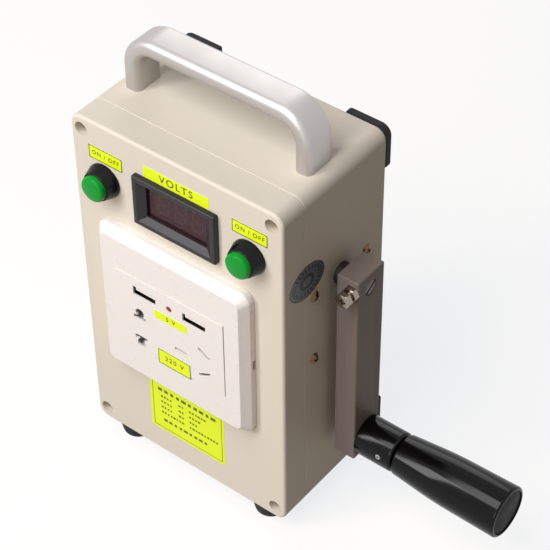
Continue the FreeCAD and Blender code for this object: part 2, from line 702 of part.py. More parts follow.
def meter_bezel():
    """Return the bezel with its funnel, sleeve and side clips."""
    sleeve_width = METER_WIDTH - 2 * METER_RIM
    sleeve_height = METER_HEIGHT - 2 * METER_RIM
    face = slab(METER_WIDTH, METER_HEIGHT, 1.0, METER_X, METER_Z, FRONT - METER_PROUD, FRONT)
    face = face.makeChamfer(0.5, rim_edges(face, FRONT - METER_PROUD))
    bezel = face.fuse(meter_block(sleeve_width, sleeve_height, FRONT, FRONT + METER_DEPTH))
    mouth = meter_frame(sleeve_width, sleeve_height, FRONT - METER_PROUD)
    throat = meter_frame(LENS_WIDTH, LENS_HEIGHT, FRONT - LENS_SET_BACK)
    funnel = Part.makeLoft([mouth, throat], True, True)
    window = meter_block(LENS_WIDTH, LENS_HEIGHT, FRONT - LENS_SET_BACK, FRONT + LENS_SET_BACK)
    shrink = 2 * METER_SLEEVE_WALL
    hollow = meter_block(sleeve_width - shrink, sleeve_height - shrink,
                         FRONT + LENS_SET_BACK, FRONT + METER_DEPTH)
    bezel = bezel.cut([funnel, window, hollow])
    clips = []
    for side in (-1, 1):
        x = METER_X + side * sleeve_width / 2
        outline = [Vector(x, LID_BACK + METER_CUTOUT_GAP, METER_Z - 4),
                   Vector(x + side * METER_CLIP_HEIGHT, LID_BACK + METER_CUTOUT_GAP, METER_Z - 4),
                   Vector(x, LID_BACK + 6, METER_Z - 4)]
        clips.append(Part.Face(Part.makePolygon(outline + outline[:1])).extrude(Vector(0, 0, 8)))
    return bezel.fuse(clips).removeSplitter()


def meter_lens():
    """Return the tinted window."""
    shrink = 2 * METER_SLEEVE_WALL + 0.2
    width = METER_WIDTH - 2 * METER_RIM - shrink
    height = METER_HEIGHT - 2 * METER_RIM - shrink
    return meter_block(width, height, FRONT + LENS_SET_BACK, FRONT + LENS_SET_BACK + LENS_THICKNESS)


def meter_display():
    """Return the digit block on its circuit board, behind the window."""
    start = FRONT + LENS_SET_BACK + LENS_THICKNESS
    shrink = 2 * METER_SLEEVE_WALL + 0.2
    board_width = METER_WIDTH - 2 * METER_RIM - shrink
    board_height = METER_HEIGHT - 2 * METER_RIM - shrink
    end = start + DISPLAY_THICKNESS
    block = meter_block(board_width - 5, board_height - 3, start, end - BOARD_THICKNESS)
    board = meter_block(board_width, board_height, end - BOARD_THICKNESS, end)
    return block.fuse(board)


# Push buttons

def button_housing(x):
    """Return the black housing of one push button, with its spring chamber."""
    bore = BUTTON_CAP_RADIUS + RUNNING_CLEARANCE
    floor = BUTTON_FLOOR_DEPTH
    below = BUTTON_FLOOR_DEPTH + BUTTON_FLOOR_THICKNESS
    guide = BUTTON_STEM_RADIUS + RUNNING_CLEARANCE
    chamber_end = BUTTON_BARREL_LENGTH - BUTTON_FLOOR_THICKNESS
    outline = [(-BUTTON_PROUD, bore), (-BUTTON_PROUD, BUTTON_COLLAR_RADIUS), (-0.8, BUTTON_BASE_RADIUS),
               (0, BUTTON_BASE_RADIUS), (0, BUTTON_BARREL_RADIUS),
               (BUTTON_BARREL_LENGTH, BUTTON_BARREL_RADIUS), (BUTTON_BARREL_LENGTH, 0),
               (chamber_end, 0), (chamber_end, BUTTON_CHAMBER_RADIUS), (below, BUTTON_CHAMBER_RADIUS),
               (below, guide), (floor, guide), (floor, bore)]
    return turned(outline, Vector(x, FRONT, BUTTON_Z), Y_AXIS)


def button_cap(x):
    """Return the cap of one push button, with its stem and catch."""
    face = -BUTTON_CAP_PROUD
    skirt = face + BUTTON_CAP_LENGTH
    ceiling = face + BUTTON_CAP_WALL + 0.7
    catch = BUTTON_FLOOR_DEPTH + BUTTON_FLOOR_THICKNESS + RUNNING_CLEARANCE
    end = catch + BUTTON_CATCH_LENGTH
    outline = [(face, 0), (face, BUTTON_CAP_RADIUS - BUTTON_CAP_BEVEL),
               (face + BUTTON_CAP_BEVEL, BUTTON_CAP_RADIUS), (skirt, BUTTON_CAP_RADIUS),
               (skirt, BUTTON_CAP_RADIUS - BUTTON_CAP_WALL), (ceiling, BUTTON_CAP_RADIUS - BUTTON_CAP_WALL),
               (ceiling, BUTTON_STEM_RADIUS), (catch, BUTTON_STEM_RADIUS), (catch, BUTTON_CATCH_RADIUS),
               (end, BUTTON_CATCH_RADIUS), (end, 0)]
    return turned(outline, Vector(x, FRONT, BUTTON_Z), Y_AXIS)


def button_spring(x):
    """Return the return spring of one push button, as a plain sleeve."""
    start = FRONT - BUTTON_CAP_PROUD + BUTTON_CAP_WALL + 0.7
    return tube(SPRING_OUTER_RADIUS, SPRING_INNER_RADIUS, Vector(x, start, BUTTON_Z),
                Vector(x, FRONT + BUTTON_FLOOR_DEPTH, BUTTON_Z))


def button_nuts():
    """Return the two nuts behind the lid."""
    return [hexagon(BUTTON_NUT_ACROSS_FLATS, BUTTON_BARREL_RADIUS + SCREW_CLEARANCE,
                    Vector(x, LID_BACK, BUTTON_Z), Vector(x, LID_BACK + BUTTON_NUT_THICKNESS, BUTTON_Z))
            for x in (-BUTTON_X, BUTTON_X)]


def button_terminals():
    """Return the two solder tabs of each push button."""
    start = FRONT + BUTTON_BARREL_LENGTH
    tabs = []
    for centre in (-BUTTON_X, BUTTON_X):
        for x in (centre - TERMINAL_SPREAD, centre + TERMINAL_SPREAD):
            tabs.append(box(x - TERMINAL_WIDTH / 2, x + TERMINAL_WIDTH / 2, start, start + TERMINAL_LENGTH,
                            BUTTON_Z - TERMINAL_THICKNESS / 2, BUTTON_Z + TERMINAL_THICKNESS / 2))
    return tabs


# Socket plate

def plate_wire(size, radius, y):
    """Return a rounded square round the plate's middle, at one depth."""
    half = size / 2
    flat = half - radius
    bow = radius * math.sqrt(0.5)
    edges = []
    for turn in range(4):
        angle = math.radians(90 * turn)

        def place(u, v):
            """Return a point of the square, turned by this corner's angle."""
            return Vector(PLATE_X + u * math.cos(angle) - v * math.sin(angle), y,
                          PLATE_Z + u * math.sin(angle) + v * math.cos(angle))

        edges.append(Part.LineSegment(place(half, -flat), place(half, flat)).toShape())
        edges.append(Part.Arc(place(half, flat), place(flat + bow, flat + bow), place(flat, half)).toShape())
    return Part.Wire(edges)


def plate_block(width, height, y0, y1):
    """Return a block round the plate's middle, between two depths."""
    return box(PLATE_X - width / 2, PLATE_X + width / 2, y0, y1, PLATE_Z - height / 2, PLATE_Z + height / 2)


def socket_screw_heights():
    """Return the heights of the two screws of the socket frame."""
    return (PLATE_Z - SOCKET_SCREW_SPACING / 2, PLATE_Z + SOCKET_SCREW_SPACING / 2)


def socket_plate():
    """Return the cover plate with its bevelled rim, window and pry notch."""
    shoulder = FRONT - PLATE_SIDE_HEIGHT
    bevel_radius = PLATE_CORNER_RADIUS - PLATE_BEVEL / 2
    side = Part.makeLoft([plate_wire(PLATE_SIZE, PLATE_CORNER_RADIUS, FRONT),
                          plate_wire(PLATE_SIZE, PLATE_CORNER_RADIUS, shoulder),
                          plate_wire(PLATE_SIZE - 2 * PLATE_BEVEL, bevel_radius, PLATE_FRONT)], True, True)
    hollow_front = PLATE_FRONT + PLATE_FACE_THICKNESS
    hollow = plate_block(PLATE_SIZE - 2 * PLATE_SIDE_WALL, PLATE_SIZE - 2 * PLATE_SIDE_WALL,
                         hollow_front, FRONT)
    window = plate_block(INSERT_WIDTH + 2 * INSERT_GAP, INSERT_HEIGHT + 2 * INSERT_GAP,
                         PLATE_FRONT, FRONT)
    notch_x = PLATE_X + PLATE_SIZE / 2
    notch = box(notch_x - NOTCH_DEPTH, notch_x, FRONT - NOTCH_WIDTH, FRONT,
                PLATE_Z - NOTCH_LENGTH / 2, PLATE_Z + NOTCH_LENGTH / 2)
    return side.cut([hollow, window, notch])


def socket_frame():
    """Return the mounting frame under the cover plate."""
    frame = plate_block(FRAME_SIZE, FRAME_SIZE, FRAME_FRONT, FRONT)
    window = plate_block(SOCKET_BODY_WIDTH + 2 * INSERT_GAP, SOCKET_BODY_HEIGHT + 2 * INSERT_GAP,
                         FRAME_FRONT, FRONT)
    holes = [rod(SOCKET_SCREW_RADIUS + SCREW_CLEARANCE, Vector(PLATE_X, FRAME_FRONT, z),
                 Vector(PLATE_X, FRONT, z)) for z in socket_screw_heights()]
    return frame.cut([window] + holes)


def socket_screws():
    """Return the two screws of the socket frame."""
    return [screw(SOCKET_SCREW_RADIUS, SOCKET_SCREW_HEAD_RADIUS, SOCKET_SCREW_HEAD_HEIGHT,
                  SOCKET_SCREW_LENGTH, Vector(PLATE_X, FRAME_FRONT, z), -Y_AXIS)
            for z in socket_screw_heights()]


def slot(length, thickness, x, z, slant, y0, y1):
    """Return a straight slot cutter, slanted from the X direction."""
    cutter = box(-length / 2, length / 2, y0, y1, -thickness / 2, thickness / 2)
    cutter.Placement = FreeCAD.Placement(Vector(x, 0, z), FreeCAD.Rotation(Y_AXIS, -slant))
    return cutter


def pin_slots(y0, y1):
    """Return cutters for the two pin and three pin outlets."""
    cutters = []
    x = PLATE_X + TWO_PIN_X
    for side in (-1, 1):
        z = PLATE_Z + TWO_PIN_Z + side * TWO_PIN_SLOT_SPACING / 2
        round_z = PLATE_Z + TWO_PIN_Z + side * TWO_PIN_ROUND_SPACING / 2
        flat = slot(TWO_PIN_SLOT_WIDTH, TWO_PIN_SLOT_HEIGHT, x, z, 0, y0, y1)
        cutters.append(flat.fuse(rod(TWO_PIN_ROUND_RADIUS, Vector(x, y0, round_z), Vector(x, y1, round_z))))
    x = PLATE_X + THREE_PIN_X
    z = PLATE_Z + THREE_PIN_Z
    for side in (-1, 1):
        cutters.append(slot(THREE_PIN_SLOT_LENGTH, SLOT_THICKNESS, x, z + side * THREE_PIN_SPACING / 2,
                            -side * THREE_PIN_SLANT, y0, y1))
    cutters.append(slot(EARTH_SLOT_LENGTH, SLOT_THICKNESS, x - EARTH_DISTANCE, z, 0, y0, y1))
    return cutters


def contact_places():
    """Return the middle of each contact pocket, as (x, z)."""
    x = PLATE_X + TWO_PIN_X
    middle = PLATE_Z + TWO_PIN_Z
    lift = (TWO_PIN_SLOT_SPACING + TWO_PIN_ROUND_SPACING) / 4
    places = [(x, middle - lift), (x, middle + lift)]
    x = PLATE_X + THREE_PIN_X
    middle = PLATE_Z + THREE_PIN_Z
    places += [(x, middle - THREE_PIN_SPACING / 2), (x, middle + THREE_PIN_SPACING / 2)]
    return places + [(x - EARTH_DISTANCE, middle)]


def contact_pockets(y0, y1):
    """Return cutters for the square pockets round the contacts."""
    half = CONTACT_POCKET / 2
    return [box(x - half, x + half, y0, y1, z - half, z + half) for x, z in contact_places()]


def usb_places():
    """Return the middle of each charging port, as (x, z)."""
    return [(PLATE_X + side * USB_SPREAD, PLATE_Z + USB_ABOVE) for side in (-1, 1)]


def port_block(x, z, width, height, y0, y1):
    """Return a block round the middle of a charging port."""
    return box(x - width / 2, x + width / 2, y0, y1, z - height / 2, z + height / 2)


def socket_insert():
    """Return the face of the outlets, with its slots and port openings."""
    face = plate_block(INSERT_WIDTH, INSERT_HEIGHT, INSERT_FRONT, FRAME_FRONT)
    cuts = pin_slots(INSERT_FRONT, FRAME_FRONT)
    cuts += contact_pockets(INSERT_FRONT + OUTLET_FACE_THICKNESS, FRAME_FRONT)
    for x, z in usb_places():
        cuts.append(port_block(x, z, USB_WIDTH, USB_HEIGHT, INSERT_FRONT, FRAME_FRONT))
        cuts.append(port_block(x, z, USB_WIDTH + 2 * USB_SHELL_WALL, USB_HEIGHT + 2 * USB_SHELL_WALL,
                               INSERT_FRONT + USB_LIP, FRAME_FRONT))
    led_z = PLATE_Z + USB_ABOVE
    cuts.append(rod(LED_RADIUS + SCREW_CLEARANCE, Vector(PLATE_X, INSERT_FRONT, led_z),
                    Vector(PLATE_X, FRAME_FRONT, led_z)))
    return face.cut(cuts)


def socket_body():
    """Return the moulded block behind the face, with its contact pockets."""
    block = plate_block(SOCKET_BODY_WIDTH, SOCKET_BODY_HEIGHT, FRAME_FRONT, FRONT + SOCKET_BODY_DEPTH)
    cuts = contact_pockets(FRAME_FRONT, FRAME_FRONT + CONTACT_POCKET_DEPTH)
    for x, z in usb_places():
        cuts.append(port_block(x, z, USB_WIDTH + 2 * USB_SHELL_WALL, USB_HEIGHT + 2 * USB_SHELL_WALL,
                               FRAME_FRONT, FRAME_FRONT + USB_DEPTH))
    return block.cut(cuts)


def socket_contacts():
    """Return a folded spring clip for each contact pocket."""
    clips = []
    end = FRAME_FRONT + CONTACT_POCKET_DEPTH
    for x, z in contact_places():
        clip = box(x - CONTACT_WIDTH / 2, x + CONTACT_WIDTH / 2, FRAME_FRONT + 1, end,
                   z - CONTACT_SPREAD / 2, z + CONTACT_SPREAD / 2)
        gap = box(x - CONTACT_WIDTH / 2, x + CONTACT_WIDTH / 2, FRAME_FRONT + 1, end - CONTACT_LEAF,
                  z - CONTACT_SPREAD / 2 + CONTACT_LEAF, z + CONTACT_SPREAD / 2 - CONTACT_LEAF)
        clips.append(clip.cut(gap))
    return clips


def usb_shells():
    """Return the folded steel shell of each charging port."""
    shells = []
    start = INSERT_FRONT + USB_LIP
    end = FRAME_FRONT + USB_DEPTH
    for x, z in usb_places():
        outer = port_block(x, z, USB_WIDTH + 2 * USB_SHELL_WALL - 0.1, USB_HEIGHT + 2 * USB_SHELL_WALL - 0.1,
                           start, end)
        shells.append(outer.cut(port_block(x, z, USB_WIDTH, USB_HEIGHT, start, end)))
    return shells


def usb_tongues():
    """Return the contact tongue of each charging port, on its rear block."""
    front = INSERT_FRONT + USB_TONGUE_SET_BACK
    end = FRAME_FRONT + USB_DEPTH
    tongues = []
    for x, z in usb_places():
        tongue = port_block(x, z + USB_TONGUE_RISE, USB_TONGUE_WIDTH, USB_TONGUE_THICKNESS, front, end - 2)
        block = port_block(x, z, USB_WIDTH - 0.1, USB_HEIGHT - 0.1, end - 2, end)
        tongues.append(tongue.fuse(block))
    return tongues


def power_led():
    """Return the round indicator between the ports."""
    length = FRAME_FRONT - INSERT_FRONT
    outline = [(-LED_PROUD, 0), (-LED_PROUD, LED_RADIUS - 0.5), (0.1, LED_RADIUS), (length, LED_RADIUS),
               (length, 0)]
    return turned(outline, Vector(PLATE_X, INSERT_FRONT, PLATE_Z + USB_ABOVE), Y_AXIS)


# Gears

def involute(angle):
    """Return the involute function of an angle."""
    return math.tan(angle) - angle


def tooth_flank(teeth, module):
    """Return (radius, half angle) pairs along one flank, from the root to the tip."""
    pitch = module * teeth / 2
    base = pitch * math.cos(PRESSURE_ANGLE)
    root = pitch - DEDENDUM * module
    tip = pitch + ADDENDUM * module
    start = max(base, root)
    widest = math.pi / (2 * teeth) - BACKLASH / (2 * pitch) + involute(PRESSURE_ANGLE)
    flank = []
    for step in range(FLANK_STEPS + 1):
        radius = start + (tip - start) * step / FLANK_STEPS
        flank.append((radius, widest - involute(math.acos(base / radius))))
    if root < start:
        flank.insert(0, (root, flank[0][1]))
    return flank


def gear(teeth, module, first_tooth, x0, x1, y, z):
    """Return a spur gear on an axis along X, with one tooth at a given angle."""
    flank = tooth_flank(teeth, module)
    corners = []
    for index in range(teeth):
        middle = first_tooth + 2 * math.pi * index / teeth
        for radius, half in flank:
            corners.append((radius, middle - half))
        for radius, half in reversed(flank):
            corners.append((radius, middle + half))
    points = [Vector(x0, y + radius * math.cos(angle), z + radius * math.sin(angle))
              for radius, angle in corners]
    return Part.Face(Part.makePolygon(points + points[:1])).extrude(Vector(x1 - x0, 0, 0))


def mating_tooth(direction, teeth):
    """Return the angle of a tooth beside the gap that faces back along a direction."""
    return direction + math.pi + math.pi / teeth


def on_shaft(x):
    """Return a point of the crank shaft's axis."""
    return Vector(x, SHAFT_Y, SHAFT_Z)


def on_idler(x):
    """Return a point of the idler's axis."""
    return Vector(x, IDLER_Y, IDLER_Z)


def on_rotor(x):
    """Return a point of the generator's axis."""
    return Vector(x, ROTOR_Y, ROTOR_Z)


DOWN = -math.pi / 2
SECOND_DIRECTION = SECOND_STAGE_LEAN - math.pi / 2
HUB_START = INNER_PLATE_X + BUSH_FLANGE_THICKNESS + AXIAL_CLEARANCE
HUB_END = OUTER_PLATE_X - BUSH_FLANGE_THICKNESS - AXIAL_CLEARANCE


def crank_gear():
    """Return the large gear on the crank shaft, with its long hub."""
    wheel = gear(WHEEL_TEETH, FIRST_MODULE, DOWN, CRANK_GEAR_X - CRANK_GEAR_WIDTH / 2,
                 CRANK_GEAR_X + CRANK_GEAR_WIDTH / 2, SHAFT_Y, SHAFT_Z)
    hub = rod(HUB_RADIUS, on_shaft(HUB_START), on_shaft(HUB_END))
    bore = rod(SHAFT_RADIUS + SCREW_CLEARANCE, on_shaft(HUB_START), on_shaft(HUB_END))
    return wheel.fuse(hub).cut(bore)


def idler_gear():
    """Return the cluster of pinion and gear that steps the speed up."""
    half = CRANK_GEAR_WIDTH / 2 + PINION_OVERHANG
    pinion = gear(PINION_TEETH, FIRST_MODULE, mating_tooth(DOWN, PINION_TEETH),
                  CRANK_GEAR_X - half, CRANK_GEAR_X + half, IDLER_Y, IDLER_Z)
    wheel = gear(WHEEL_TEETH, SECOND_MODULE, SECOND_DIRECTION, IDLER_GEAR_X,
                 IDLER_GEAR_X + IDLER_GEAR_WIDTH, IDLER_Y, IDLER_Z)
    hub = rod(IDLER_HUB_RADIUS, on_idler(HUB_START), on_idler(HUB_END))
    bore = rod(IDLER_AXLE_RADIUS + SCREW_CLEARANCE, on_idler(HUB_START), on_idler(HUB_END))
    return pinion.fuse([wheel, hub]).cut(bore)


def idler_axle():
    """Return the axle of the idler, between the two plates."""
    return rod(IDLER_AXLE_RADIUS, on_idler(CAN_FACE_X + 0.5), on_idler(WALL_INNER - 0.5))


def generator_pinion():
    """Return the small gear on the generator's shaft."""
    x0 = IDLER_GEAR_X - PINION_OVERHANG
    x1 = IDLER_GEAR_X + IDLER_GEAR_WIDTH + PINION_OVERHANG
    wheel = gear(PINION_TEETH, SECOND_MODULE, mating_tooth(SECOND_DIRECTION, PINION_TEETH),
                 x0, x1, ROTOR_Y, ROTOR_Z)
    return wheel.cut(rod(ROTOR_SHAFT_RADIUS + SCREW_CLEARANCE, on_rotor(x0), on_rotor(x1)))


# Gearbox frame

def pillar_places():
    """Return the four pillars between the plates, as (y, z)."""
    y0 = SHAFT_Y - PLATE_MARGIN_FRONT + PILLAR_INSET
    y1 = SHAFT_Y + PLATE_MARGIN_BACK - PILLAR_INSET
    low = ROTOR_Z - PLATE_MARGIN_BOTTOM + PILLAR_INSET
    high = SHAFT_Z + PLATE_MARGIN_TOP - PILLAR_INSET
    clear = FIRST_MODULE * (WHEEL_TEETH / 2 + ADDENDUM) + PILLAR_RADIUS + PILLAR_GAP
    beside_gear = SHAFT_Z + math.sqrt(max(clear ** 2 - (SHAFT_Y - y0) ** 2, 0))
    return [(y0, low), (y1, low), (y0, beside_gear), (y1, high)]


def can_screw_places():
    """Return the two screws that hold the generator, as (y, z)."""
    return [(ROTOR_Y - CAN_SCREW_CIRCLE, ROTOR_Z), (ROTOR_Y + CAN_SCREW_CIRCLE, ROTOR_Z)]


def gearbox_plate(x0, x1, holes):
    """Return a flat gearbox plate with holes given as (y, z, radius)."""
    plate = box(x0, x1, SHAFT_Y - PLATE_MARGIN_FRONT, SHAFT_Y + PLATE_MARGIN_BACK,
                ROTOR_Z - PLATE_MARGIN_BOTTOM, SHAFT_Z + PLATE_MARGIN_TOP)
    return plate.cut([rod(radius, Vector(x0, y, z), Vector(x1, y, z)) for y, z, radius in holes])


def gearbox_outer_plate():
    """Return the plate that lies against the wall of the enclosure."""
    holes = [(SHAFT_Y, SHAFT_Z, BUSH_RADIUS + SCREW_CLEARANCE),
             (IDLER_Y, IDLER_Z, IDLER_AXLE_RADIUS + RUNNING_CLEARANCE)]
    holes += [(y, z, WALL_SCREW_RADIUS + SCREW_CLEARANCE) for y, z in wall_screw_places()]
    return gearbox_plate(OUTER_PLATE_X, WALL_INNER, holes)


def gearbox_inner_plate():
    """Return the plate that carries the generator."""
    holes = [(SHAFT_Y, SHAFT_Z, SHAFT_RADIUS + 1.5 + SCREW_CLEARANCE),
             (IDLER_Y, IDLER_Z, IDLER_AXLE_RADIUS + 1.5 + SCREW_CLEARANCE),
             (ROTOR_Y, ROTOR_Z, CAN_BOSS_RADIUS + SCREW_CLEARANCE)]
    holes += [(y, z, SMALL_SCREW_RADIUS + SCREW_CLEARANCE) for y, z in pillar_places() + can_screw_places()]
    return gearbox_plate(CAN_FACE_X, INNER_PLATE_X, holes)


def gearbox_pillars():
    """Return the four pillars that keep the plates apart."""
    pillars = []
    for y, z in pillar_places():
        pillar = rod(PILLAR_RADIUS, Vector(INNER_PLATE_X, y, z), Vector(OUTER_PLATE_X, y, z))
        hole = rod(SMALL_SCREW_RADIUS + SCREW_CLEARANCE, Vector(INNER_PLATE_X, y, z),
                   Vector(INNER_PLATE_X + SMALL_SCREW_BITE + 1, y, z))
        pillars.append(pillar.cut(hole))
    return pillars


def gearbox_screws():
    """Return the small screws of the pillars and of the generator."""
    length = INNER_PLATE_THICKNESS + SMALL_SCREW_BITE
    screws = [screw(SMALL_SCREW_RADIUS, SMALL_SCREW_HEAD_RADIUS, SMALL_SCREW_HEAD_HEIGHT, length,
                    Vector(CAN_FACE_X, y, z), -X_AXIS) for y, z in pillar_places()]
    can_length = INNER_PLATE_THICKNESS + CAN_FRONT_WALL - 0.5
    screws += [screw(SMALL_SCREW_RADIUS, SMALL_SCREW_HEAD_RADIUS, SMALL_SCREW_HEAD_HEIGHT, can_length,
                     Vector(INNER_PLATE_X, y, z), X_AXIS) for y, z in can_screw_places()]
    return screws


def wall_screws():
    """Return the four screws that show on the right wall."""
    return [screw(WALL_SCREW_RADIUS, WALL_SCREW_HEAD_RADIUS, WALL_SCREW_HEAD_HEIGHT,
                  WALL + OUTER_PLATE_THICKNESS, Vector(SIDE, y, z), X_AXIS)
            for y, z in wall_screw_places()]


def crank_bushing():
    """Return the flanged bushing that carries the crank shaft through the wall."""
    bore = SHAFT_RADIUS + RUNNING_CLEARANCE
    end = ARM_INNER - BUSH_TO_ARM
    outline = [(OUTER_PLATE_X - BUSH_FLANGE_THICKNESS, bore),
               (OUTER_PLATE_X - BUSH_FLANGE_THICKNESS, BUSH_FLANGE_RADIUS),
               (OUTER_PLATE_X, BUSH_FLANGE_RADIUS), (OUTER_PLATE_X, BUSH_RADIUS),
               (end, BUSH_RADIUS), (end, bore)]
    return turned(outline, on_shaft(0), X_AXIS)


def gearbox_bushes():
    """Return the small flanged bushes in the inner plate."""
    bushes = []
    for centre, radius in ((on_shaft(0), SHAFT_RADIUS), (on_idler(0), IDLER_AXLE_RADIUS)):
        bore = radius + RUNNING_CLEARANCE
        outline = [(CAN_FACE_X, bore), (CAN_FACE_X, radius + 1.5), (INNER_PLATE_X, radius + 1.5),
                   (INNER_PLATE_X, radius + 3), (INNER_PLATE_X + BUSH_FLANGE_THICKNESS, radius + 3),
                   (INNER_PLATE_X + BUSH_FLANGE_THICKNESS, bore)]
        bushes.append(turned(outline, centre, X_AXIS))
    return bushes


# Generator

CAN_END_X = CAN_FACE_X - CAN_LENGTH
MAGNET_OUTER = CAN_RADIUS - CAN_WALL
MAGNET_END = CAN_FACE_X - CAN_FRONT_WALL - 4
CORE_END = MAGNET_END - (MAGNET_LENGTH - CORE_LENGTH) / 2


def generator_can():
    """Return the drawn steel can with its front boss."""
    inner = CAN_RADIUS - CAN_WALL
    bore = ROTOR_SHAFT_RADIUS + RUNNING_CLEARANCE
    outline = [(CAN_END_X, inner), (CAN_END_X, CAN_RADIUS), (CAN_FACE_X, CAN_RADIUS),
               (CAN_FACE_X, CAN_BOSS_RADIUS), (INNER_PLATE_X - 0.3, CAN_BOSS_RADIUS),
               (INNER_PLATE_X - 0.3, bore), (CAN_FACE_X - CAN_FRONT_WALL, bore),
               (CAN_FACE_X - CAN_FRONT_WALL, inner)]
    can = turned(outline, on_rotor(0), X_AXIS)
    holes = [rod(SMALL_SCREW_RADIUS + SCREW_CLEARANCE, Vector(CAN_FACE_X - CAN_FRONT_WALL, y, z),
                 Vector(CAN_FACE_X, y, z)) for y, z in can_screw_places()]
    return can.cut(holes)


def generator_end_cap():
    """Return the moulded end cap with its bearing and two brush holders."""
    inner = CAN_RADIUS - CAN_WALL - SCREW_CLEARANCE
    bore = ROTOR_SHAFT_RADIUS + RUNNING_CLEARANCE
    outline = [(CAN_END_X, bore), (CAN_END_X, inner), (CAN_END_X + END_CAP_THICKNESS, inner),
               (CAN_END_X + END_CAP_THICKNESS, bore)]
    cap = turned(outline, on_rotor(0), X_AXIS)
    reach = COMMUTATOR_RADIUS + RUNNING_CLEARANCE + BRUSH_LENGTH
    arms = []
    for side in (-1, 1):
        y0 = ROTOR_Y + side * reach
        y1 = ROTOR_Y + side * (reach + 3)
        arms.append(box(CAN_END_X + END_CAP_THICKNESS, CAN_END_X + END_CAP_THICKNESS + 6, min(y0, y1),
                        max(y0, y1), ROTOR_Z - BRUSH_WIDTH / 2, ROTOR_Z + BRUSH_WIDTH / 2))
    return fused([cap] + arms)


def generator_brushes():
    """Return the two carbon brushes."""
    start = COMMUTATOR_RADIUS + RUNNING_CLEARANCE
    x0 = CAN_END_X + END_CAP_THICKNESS + 1.5
    brushes = []
    for side in (-1, 1):
        y0 = ROTOR_Y + side * start
        y1 = ROTOR_Y + side * (start + BRUSH_LENGTH)
        brushes.append(box(x0, x0 + BRUSH_WIDTH, min(y0, y1), max(y0, y1), ROTOR_Z - BRUSH_WIDTH / 2,
                           ROTOR_Z + BRUSH_WIDTH / 2))
    return brushes


def generator_magnets():
    """Return the two curved magnets inside the can."""
    ring = tube(MAGNET_OUTER - SCREW_CLEARANCE, MAGNET_OUTER - MAGNET_THICKNESS,
                on_rotor(MAGNET_END - MAGNET_LENGTH), on_rotor(MAGNET_END))
    half = MAGNET_OUTER * math.cos(math.radians(MAGNET_SPAN / 2))
    magnets = []
    for z0, z1 in ((ROTOR_Z + half, ROTOR_Z + CAN_RADIUS), (ROTOR_Z - CAN_RADIUS, ROTOR_Z - half)):
        keep = box(MAGNET_END - MAGNET_LENGTH, MAGNET_END, ROTOR_Y - CAN_RADIUS, ROTOR_Y + CAN_RADIUS,
                   z0, z1)
        magnets.append(ring.common(keep))
    return magnets


def rotor_core():
    """Return the slotted iron core of the rotor."""
    start = CORE_END - CORE_LENGTH
    core = tube(CORE_RADIUS, ROTOR_SHAFT_RADIUS + SCREW_CLEARANCE, on_rotor(start), on_rotor(CORE_END))
    slots = []
    for index in range(CORE_SLOTS):
        cutter = box(start, CORE_END, CORE_RADIUS - CORE_SLOT_DEPTH, CORE_RADIUS + 1,
                     -CORE_SLOT_WIDTH / 2, CORE_SLOT_WIDTH / 2)
        cutter.rotate(Vector(), X_AXIS, 360 * index / CORE_SLOTS)
        cutter.translate(Vector(0, ROTOR_Y, ROTOR_Z))
        slots.append(cutter)
    return core.cut(slots)


def rotor_shaft():
    """Return the generator's shaft with its commutator."""
    commutator = CAN_END_X + END_CAP_THICKNESS + AXIAL_CLEARANCE
    end = IDLER_GEAR_X + IDLER_GEAR_WIDTH + PINION_OVERHANG
    outline = [(CAN_END_X - 2, 0), (CAN_END_X - 2, ROTOR_SHAFT_RADIUS), (commutator, ROTOR_SHAFT_RADIUS),
               (commutator, COMMUTATOR_RADIUS), (commutator + COMMUTATOR_LENGTH, COMMUTATOR_RADIUS),
               (commutator + COMMUTATOR_LENGTH, ROTOR_SHAFT_RADIUS), (end, ROTOR_SHAFT_RADIUS), (end, 0)]
    return turned(outline, on_rotor(0), X_AXIS)


# Crank

def crank_shaft():
    """Return the crank shaft, with a slot across its outer end."""
    end = ARM_OUTER - SHAFT_SET_BACK
    outline = [(CAN_FACE_X, 0), (CAN_FACE_X, SHAFT_RADIUS), (end - SHAFT_END_BEVEL, SHAFT_RADIUS),
               (end, SHAFT_RADIUS - SHAFT_END_BEVEL), (end, 0)]
    shaft = turned(outline, on_shaft(0), X_AXIS)
    groove = box(end - SHAFT_SLOT_DEPTH, end, -SHAFT_RADIUS, SHAFT_RADIUS, -SHAFT_SLOT_WIDTH / 2,
                 SHAFT_SLOT_WIDTH / 2)
    groove.rotate(Vector(), X_AXIS, SHAFT_SLOT_LEAN)
    groove.translate(Vector(0, SHAFT_Y, SHAFT_Z))
    return shaft.cut([groove, clamp_seat()])


def on_clamp(y):
    """Return a point of the clamp bolt's axis."""
    return Vector(CLAMP_X, y, CLAMP_Z)


def clamp_seat():
    """Return the cutter for the hole of the clamp bolt, which bites in the shaft's flank."""
    return rod(CLAMP_BOLT_RADIUS + SCREW_CLEARANCE, on_clamp(ARM_FACE), on_clamp(CLAMP_TIP))


def crank_arm():
    """Return the square steel bar that joins the shaft and the grip."""
    bar = box(ARM_INNER, ARM_OUTER, ARM_FACE, ARM_FACE + ARM_WIDTH, GRIP_Z - ARM_BOTTOM, SHAFT_Z + ARM_TOP)
    bar = bar.makeChamfer(ARM_EDGE, bar.Edges)
    shaft_hole = rod(SHAFT_RADIUS + SCREW_CLEARANCE, on_shaft(ARM_INNER), on_shaft(ARM_OUTER))
    spindle_hole = rod(SPINDLE_THREAD_RADIUS + SCREW_CLEARANCE, on_grip(ARM_INNER), on_grip(ARM_OUTER))
    return bar.cut([shaft_hole, spindle_hole, clamp_seat()])


def clamp_nut():
    """Return the lock nut of the clamp bolt, against the arm."""
    return hexagon(CLAMP_ACROSS_FLATS, CLAMP_BOLT_RADIUS + SCREW_CLEARANCE, on_clamp(ARM_FACE),
                   on_clamp(ARM_FACE - CLAMP_NUT_THICKNESS))


